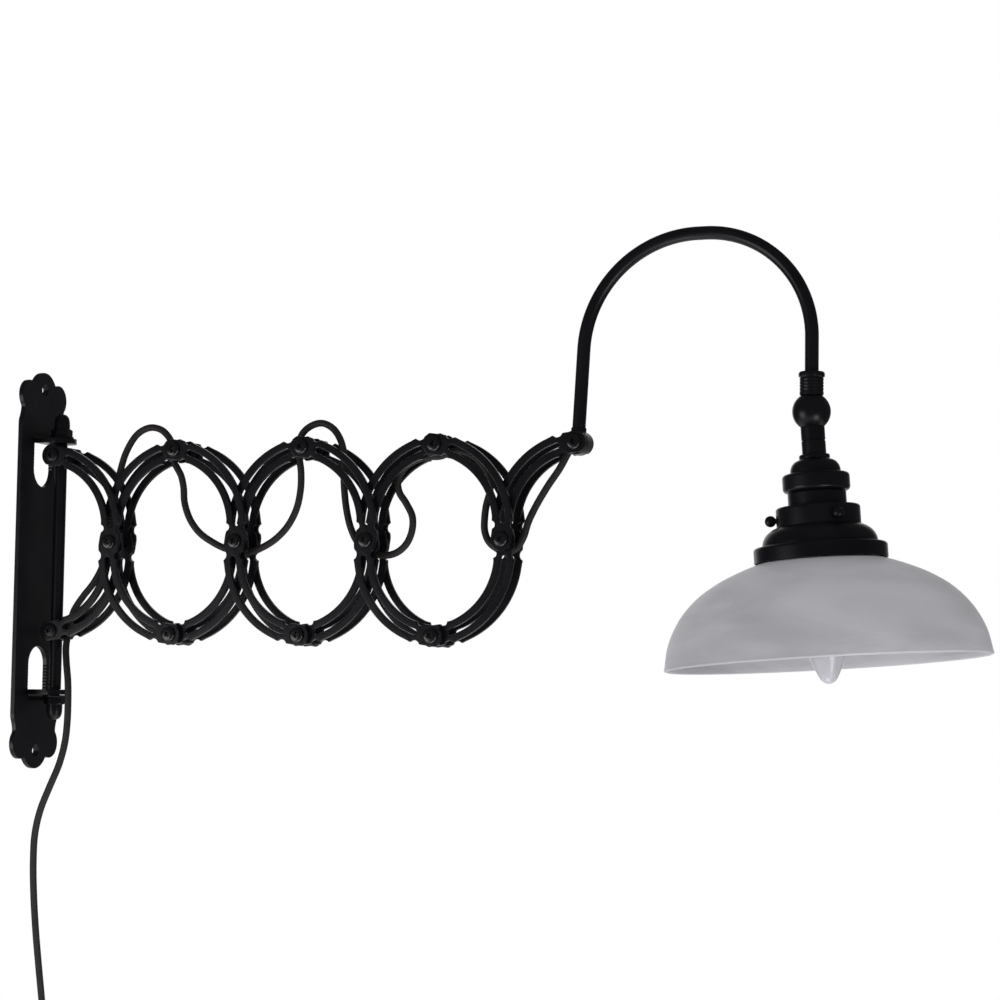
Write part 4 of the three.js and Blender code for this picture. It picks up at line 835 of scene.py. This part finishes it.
def ball_half(flat_at):
    """Half the knuckle's ball, its seam on Z = 0.15, cut flat at a height if there is one."""
    seam = [(0, 0.15), (13.55, 0.15), (13.72, 0.4)]
    top = math.degrees(math.asin(flat_at / BALL_R)) if flat_at else 90
    dome = arc(0, 0, BALL_R, 3.4, top, 30)
    if flat_at:
        dome.append(Vector((0, flat_at)))
    else:
        dome[-1].x = 0
    return turned(seam + dome, 72)


def make_knuckle(upper, head):
    back = join(bmesh.new(), ball_half(11.5), TO_BACK)
    join(back, turned([(0, 4), (5, 4), (5, 20.4), (0, 20.4)], 40))
    make_piece("knuckle_back", back, "head_swivel", SATIN_POWDER, ("knuckle_upper",), upper)
    screw = join(bmesh.new(), turned([(0, -8), (2.4, -8), (2.5, -7.6), (2.5, 12), (0, 12)], 32), TO_BACK)
    join(screw, screw_head(4, 1.6), TO_BACK @ moved(0, 0, 11.8))
    make_piece("knuckle_clamp_screw", screw, "head_swivel", BLACKED_STEEL, ("knuckle_screw",), upper)
    front = join(bmesh.new(), ball_half(0), TO_FRONT)
    stem = rounded([(0, -34), (11, -34, 0.5), (11, -31, 1.3), (8.6, -31, 0.5), (8.6, -21.6), (8.1, -21.2),
                    (8.1, -20.8), (8.6, -20.4)], 4)
    seat = arc(0, 0, BALL_R + 0.2, -52.1, -90, 10)
    seat[-1].x = 0
    join(front, turned(stem + seat, 64))
    join(front, block(9, 6, 5, 0.3), moved(0, -3.5, -12.6))
    make_piece("knuckle_front", front, "lamp_head", SATIN_POWDER, ("knuckle_stem",), head)


def make_holder(head):
    dome = smooth_line([(9.4, -34.4), (12.24, -34.95), (14.94, -36.4), (16.92, -38.9), (17.82, -41.6),
                        (18, -43.9)], 0.7)
    ring = rounded([(18, -44.4), (18.3, -44.8, 0.3), (24, -44.8, 3), (24, -57.8, 3), (17.1, -57.8),
                    (17.1, -40)], 8)[1:]
    side = [(4.3, -34.3)] + dome + ring + [(15, -38.4), (12, -36.5), (4.3, -36.3), (4.3, -34.3)]
    make_piece("holder_bell", turned(side, 96), "lamp_head", SATIN_POWDER, ("holder_cap",), head)
    # The sleeve's inner lip closes the joint under the ring to the eye
    shell = rounded([(18, -104), (19.6, -104, 0.4), (19.6, -68, 0.5), (20.8, -68, 0.4), (20.8, -58.3, 0.6),
                     (16.9, -58.3), (16.9, -56.5), (16.1, -56.5), (16.1, -60), (18, -60), (18, -104)], 3)
    make_piece("holder_sleeve", turned(shell, 80), "lamp_head", SATIN_POWDER, ("holder_shell",), head)
    insert = rounded([(0, -64), (0, -70), (8.3, -70), (8.3, -92), (13.8, -92, 0.6), (13.8, -101, 0.8),
                      (17.4, -101, 0.8), (17.4, -64, 1), (0, -64)], 4)
    make_piece("porcelain_insert", turned(insert, 64), "lamp_head", PORCELAIN, ("holder_insert",), head)


def make_gallery(head):
    dome = smooth_line([(30, -82.2), (31.2, -82.75), (34.18, -84.2), (37.92, -87.3), (40.23, -91.2),
                        (41, -94.2)], 0.8)
    outer = rounded([(19.9, -68.3), (30, -68.3, 2.1), (30, -81.6)], 8) + dome
    outer += rounded([(41, -95.4), (41, -96.2, 0.5), (47.5, -96.2, 2.3), (47.5, -107.2, 0.5),
                      (46.2, -107.2)], 8)
    inner = [(46.2, -99), (45, -97.6), (39.7, -97), (39.6, -94.6), (38.6, -91.4), (36.4, -88.3), (33, -85.4),
             (28.7, -83.2), (28.7, -69.8), (19.9, -69.6), (19.9, -68.3)]
    cup = turned(outer + inner, 112)
    make_piece("gallery_cup", cup, "lamp_head", SATIN_POWDER, ("shade_gallery",), head)
    ball = arc(34.3, 0, 4.1, 152, 0, 24)
    side = [(0, 27.9), (1.6, 27.9), (1.9, 28.3), (1.9, 30.6)]
    side += [(point.y, point.x) for point in ball[:-1]] + [(0, 38.4)]
    for number, turn in enumerate((-44, 76, -164)):
        place = head @ moved(0, 0, -76.6) @ Matrix.Rotation(math.radians(turn), 4, "Z") @ TO_ROOM
        make_piece(f"ball_screw_{number + 1}", turned(side, 40), f"thumb_screw_{number + 1}", SATIN_POWDER,
                   (f"thumb_screw_{number + 1}",), place)


# The bowl's outer line below its neck, as shares of its spread and its depth
BOWL_SHARES = [(0.07, 0.035), (0.225, 0.095), (0.38, 0.16), (0.55, 0.25), (0.72, 0.38), (0.86, 0.555),
               (0.955, 0.765), (1, 1)]
BOWL_NECK_R = 27.6
BOWL_SPREAD = 88.4
BOWL_TOP = -101.0
BOWL_DEPTH = 79.0
GLASS_T = 3.0


def make_shade(head):
    """The glass bowl: a short neck that the gallery grips, a wide round shoulder, and a rounded rim."""
    bowl = [(BOWL_NECK_R + BOWL_SPREAD * wide, BOWL_TOP - BOWL_DEPTH * low) for wide, low in BOWL_SHARES]
    neck = [(BOWL_NECK_R, -71.6), (BOWL_NECK_R, -90), (BOWL_NECK_R + 0.3, -98.2)]
    outer = smooth_line(neck + bowl, 1.6)
    inner = []
    for i, point in enumerate(outer):
        along = outer[min(i + 1, len(outer) - 1)] - outer[max(i - 1, 0)]
        inward = Vector((along.y, -along.x)).normalized()
        inner.append(point + inward * GLASS_T)
    rim_r = GLASS_T / 2
    rim_z = BOWL_TOP - BOWL_DEPTH + rim_r
    middle = (inner[-1] + outer[-1]) / 2
    rim = arc(middle.x, middle.y + rim_r, rim_r, 0, -180, 8)
    closed = [point for point in outer if point.y > rim_z] + rim
    closed += [point for point in reversed(inner) if point.y > rim_z]
    closed += [Vector((26.2, -71.6)), outer[0]]
    make_piece("glass_bowl", turned(closed, 160), "lamp_head", ALABASTER_GLASS, ("glass_shade",), head,
               crease=ROUND_CREASE)


BULB_TOP = -121.3
BULB_WALL = 0.8


def make_bulb(head):
    cap = [(0, -100.3), (4.2, -100.3), (4.6, -99.6), (10.6, -97.2), (12.6, -97)]
    for ring in range(6):
        top = -98 - 3.2 * ring
        cap += [(13.15, top), (13.2, top - 0.7), (12.45, top - 1.6), (12.4, top - 2.3)]
    cap += [(12.7, -118), (13, -121), (0, -121)]
    make_piece("bulb_screw_cap", turned(cap, 64), "bulb", NICKEL, ("bulb_cap",), head)
    side = smooth_line([(12.2, BULB_TOP), (12.9, -123.5), (14.35, -128), (16.8, -138.7), (17.5, -148),
                        (16.6, -160), (13, -175.6), (9.9, -183), (7.5, -188.3), (5.3, -191.9), (2.8, -193.9),
                        (0, -194.5), (-2.8, -193.9)], 1.2)
    side = [point for point in side if point.x >= 0]
    inner = []
    for point in reversed(side):
        lift = BULB_WALL * min(1, (BULB_TOP - point.y) / 8)
        inner.append(Vector((max(point.x - BULB_WALL, 0), point.y + lift)))
    envelope = turned(side + inner + [side[0]], 72)
    make_piece("bulb_envelope", envelope, "bulb", BULB_GLASS, ("bulb_glass",), head, crease=ROUND_CREASE)
    stem = turned(rounded([(0, -121.2), (5.4, -121.2), (3.4, -126), (2.4, -134, 1), (2.4, -142, 1.5),
                           (0, -143)]), 32)
    make_piece("bulb_stem", stem, "bulb", BULB_GLASS, (), head)
    wires = bmesh.new()
    filament = [(3.4 * math.cos(k / 3), 3.4 * math.sin(k / 3), -146 - 0.42 * k) for k in range(76)]
    lead_in = [(1.4, 0, -136), (3.4, 0, -146)]
    lead_out = [(-1.4, 0, -136), (-2.6, -0.8, -160), (-0.5, -0.5, -180), (1, 1, -178)]
    for line in (lead_in, lead_out):
        join(wires, tube(smooth_line(line, 2), 0.3))
    join(wires, tube(filament, 0.22))
    make_piece("bulb_filament", wires, "bulb", BRASS, (), head, crease=ROUND_CREASE)


def make_head():
    upper = moved(*BALL_PLACE) @ Matrix.Rotation(HEAD_TURN, 4, "Z")
    head = upper @ Matrix.Rotation(HEAD_TILT, 4, "Y")
    make_knuckle(upper, head)
    make_holder(head)
    make_gallery(head)
    make_shade(head)
    make_bulb(head)


# Room: places and sizes of the lights in metres, their power in watts
BACKDROP_WAY = (-0.345, 0.935, 0.08)  # from the room past the lamp
BACKDROP_EDGE = (0.8, 0.95)  # how nearly that way gloss has to look for the dim room to turn white
DIM_ROOM = 0.06
ROOM_LIGHT = 0.73
FLOOR_GLOW = 0.34  # takes the floor to white for the eye alone
FLOOR_R = 2400.0
FLOOR_MIDDLE = (300, 0, -1500)


def make_lamp_light(name, place, aim, width, height, watts):
    light = bpy.data.objects.new(name, bpy.data.lights.new(name, "AREA"))
    light.data.shape = "RECTANGLE"
    light.data.size = width
    light.data.size_y = height
    light.data.energy = watts
    light.location = place
    light.rotation_euler = (Vector(aim) - Vector(place)).to_track_quat("-Z", "Y").to_euler()
    bpy.context.collection.objects.link(light)


def make_room():
    """White for the eye and through glass. Gloss meets white behind the lamp and a dim room elsewhere."""
    world = bpy.data.worlds.new("white_room")
    bpy.context.scene.world = world
    world.use_nodes = True
    tree = world.node_tree
    tree.nodes.clear()
    ray = add_node(tree, "LightPath").outputs
    way = add_node(tree, "TexCoord").outputs["Generated"]
    behind = add_node(tree, "VectorMath", {"operation": "DOT_PRODUCT", 1: BACKDROP_WAY}, {0: way})
    backdrop = add_node(tree, "MapRange", {
        "interpolation_type": "SMOOTHSTEP", "From Min": BACKDROP_EDGE[0], "From Max": BACKDROP_EDGE[1],
        "To Min": DIM_ROOM, "To Max": 1,
    }, {"Value": behind.outputs["Value"]})
    gloss = add_node(tree, "MapRange", {"To Min": ROOM_LIGHT}, {
        "Value": ray["Is Glossy Ray"], "To Max": backdrop.outputs["Result"],
    })
    seen = add_node(tree, "Math", {"operation": "MAXIMUM"}, {
        0: ray["Is Camera Ray"], 1: ray["Is Transmission Ray"],
    })
    level = add_node(tree, "MapRange", {"To Max": 1}, {
        "Value": seen.outputs[0], "To Min": gloss.outputs["Result"],
    })
    white = add_node(tree, "Background", {"Color": (1, 1, 1, 1)}, {"Strength": level.outputs["Result"]})
    add_node(tree, "OutputWorld", links={"Surface": white.outputs["Background"]})


def make_floor():
    """A pale floor that keeps the lamp's shadow, and that the eye sees nearly white."""
    floor_shape = bmesh.new()
    bmesh.ops.create_circle(floor_shape, cap_ends=True, segments=96, radius=FLOOR_R,
                            matrix=moved(*FLOOR_MIDDLE))
    bmesh.ops.transform(floor_shape, matrix=Matrix.Scale(MM, 4), verts=floor_shape.verts)
    mesh = bpy.data.meshes.new("floor")
    floor_shape.to_mesh(mesh)
    floor_shape.free()
    floor = bpy.data.objects.new("floor", mesh)
    pale = make_finish("pale_floor", ("#f0f0f0", "#f4f4f4"), 400, (0.8, 0.9), 5, 0.01, {
        "Specular IOR Level": 0.2,
    })
    tree = pale.node_tree
    ray = add_node(tree, "LightPath").outputs
    seen = add_node(tree, "Math", {"operation": "ADD"}, {
        0: ray["Is Camera Ray"], 1: ray["Is Transmission Ray"],
    })
    glow = add_node(tree, "Math", {"operation": "MULTIPLY", 1: FLOOR_GLOW}, {0: seen.outputs[0]})
    surface = tree.nodes["Principled BSDF"]
    tree.links.new(glow.outputs[0], surface.inputs["Emission Strength"])
    mesh.materials.append(pale)
    bpy.context.collection.objects.link(floor)


def make_lights():
    make_lamp_light("left_softbox", (-0.72, -1.26, -0.55), (0.35, 0, 0.05), 1.0, 0.9, 8)
    make_lamp_light("low_softbox", (0.6, -0.35, -1.35), (0.5, 0, 0), 1.0, 0.8, 5)
    make_lamp_light("right_softbox", (1.31, -0.6, -0.59), (0.5, 0, 0.1), 0.5, 0.4, 2.4)


place_camera()
make_arm_cord()
make_free_cord()
make_wall_plate()
make_rod_and_nuts()
make_rod_block("swivel_collar_block", "arm_swivel", "swivel_block", OUTER_Y, TOP_LUG_Z - 10, 15)
make_rod_block("slider_collar_block", "slider", "sliding_block", INNER_Y,
               ARM_Z - WALL_HALF_STRAP * math.sin(REST_ANGLE), 60)
make_straps()
make_spindles()
make_gooseneck()
make_head()
make_room()
make_floor()
make_lights()
bpy.context.scene.view_settings.view_transform = "Standard"
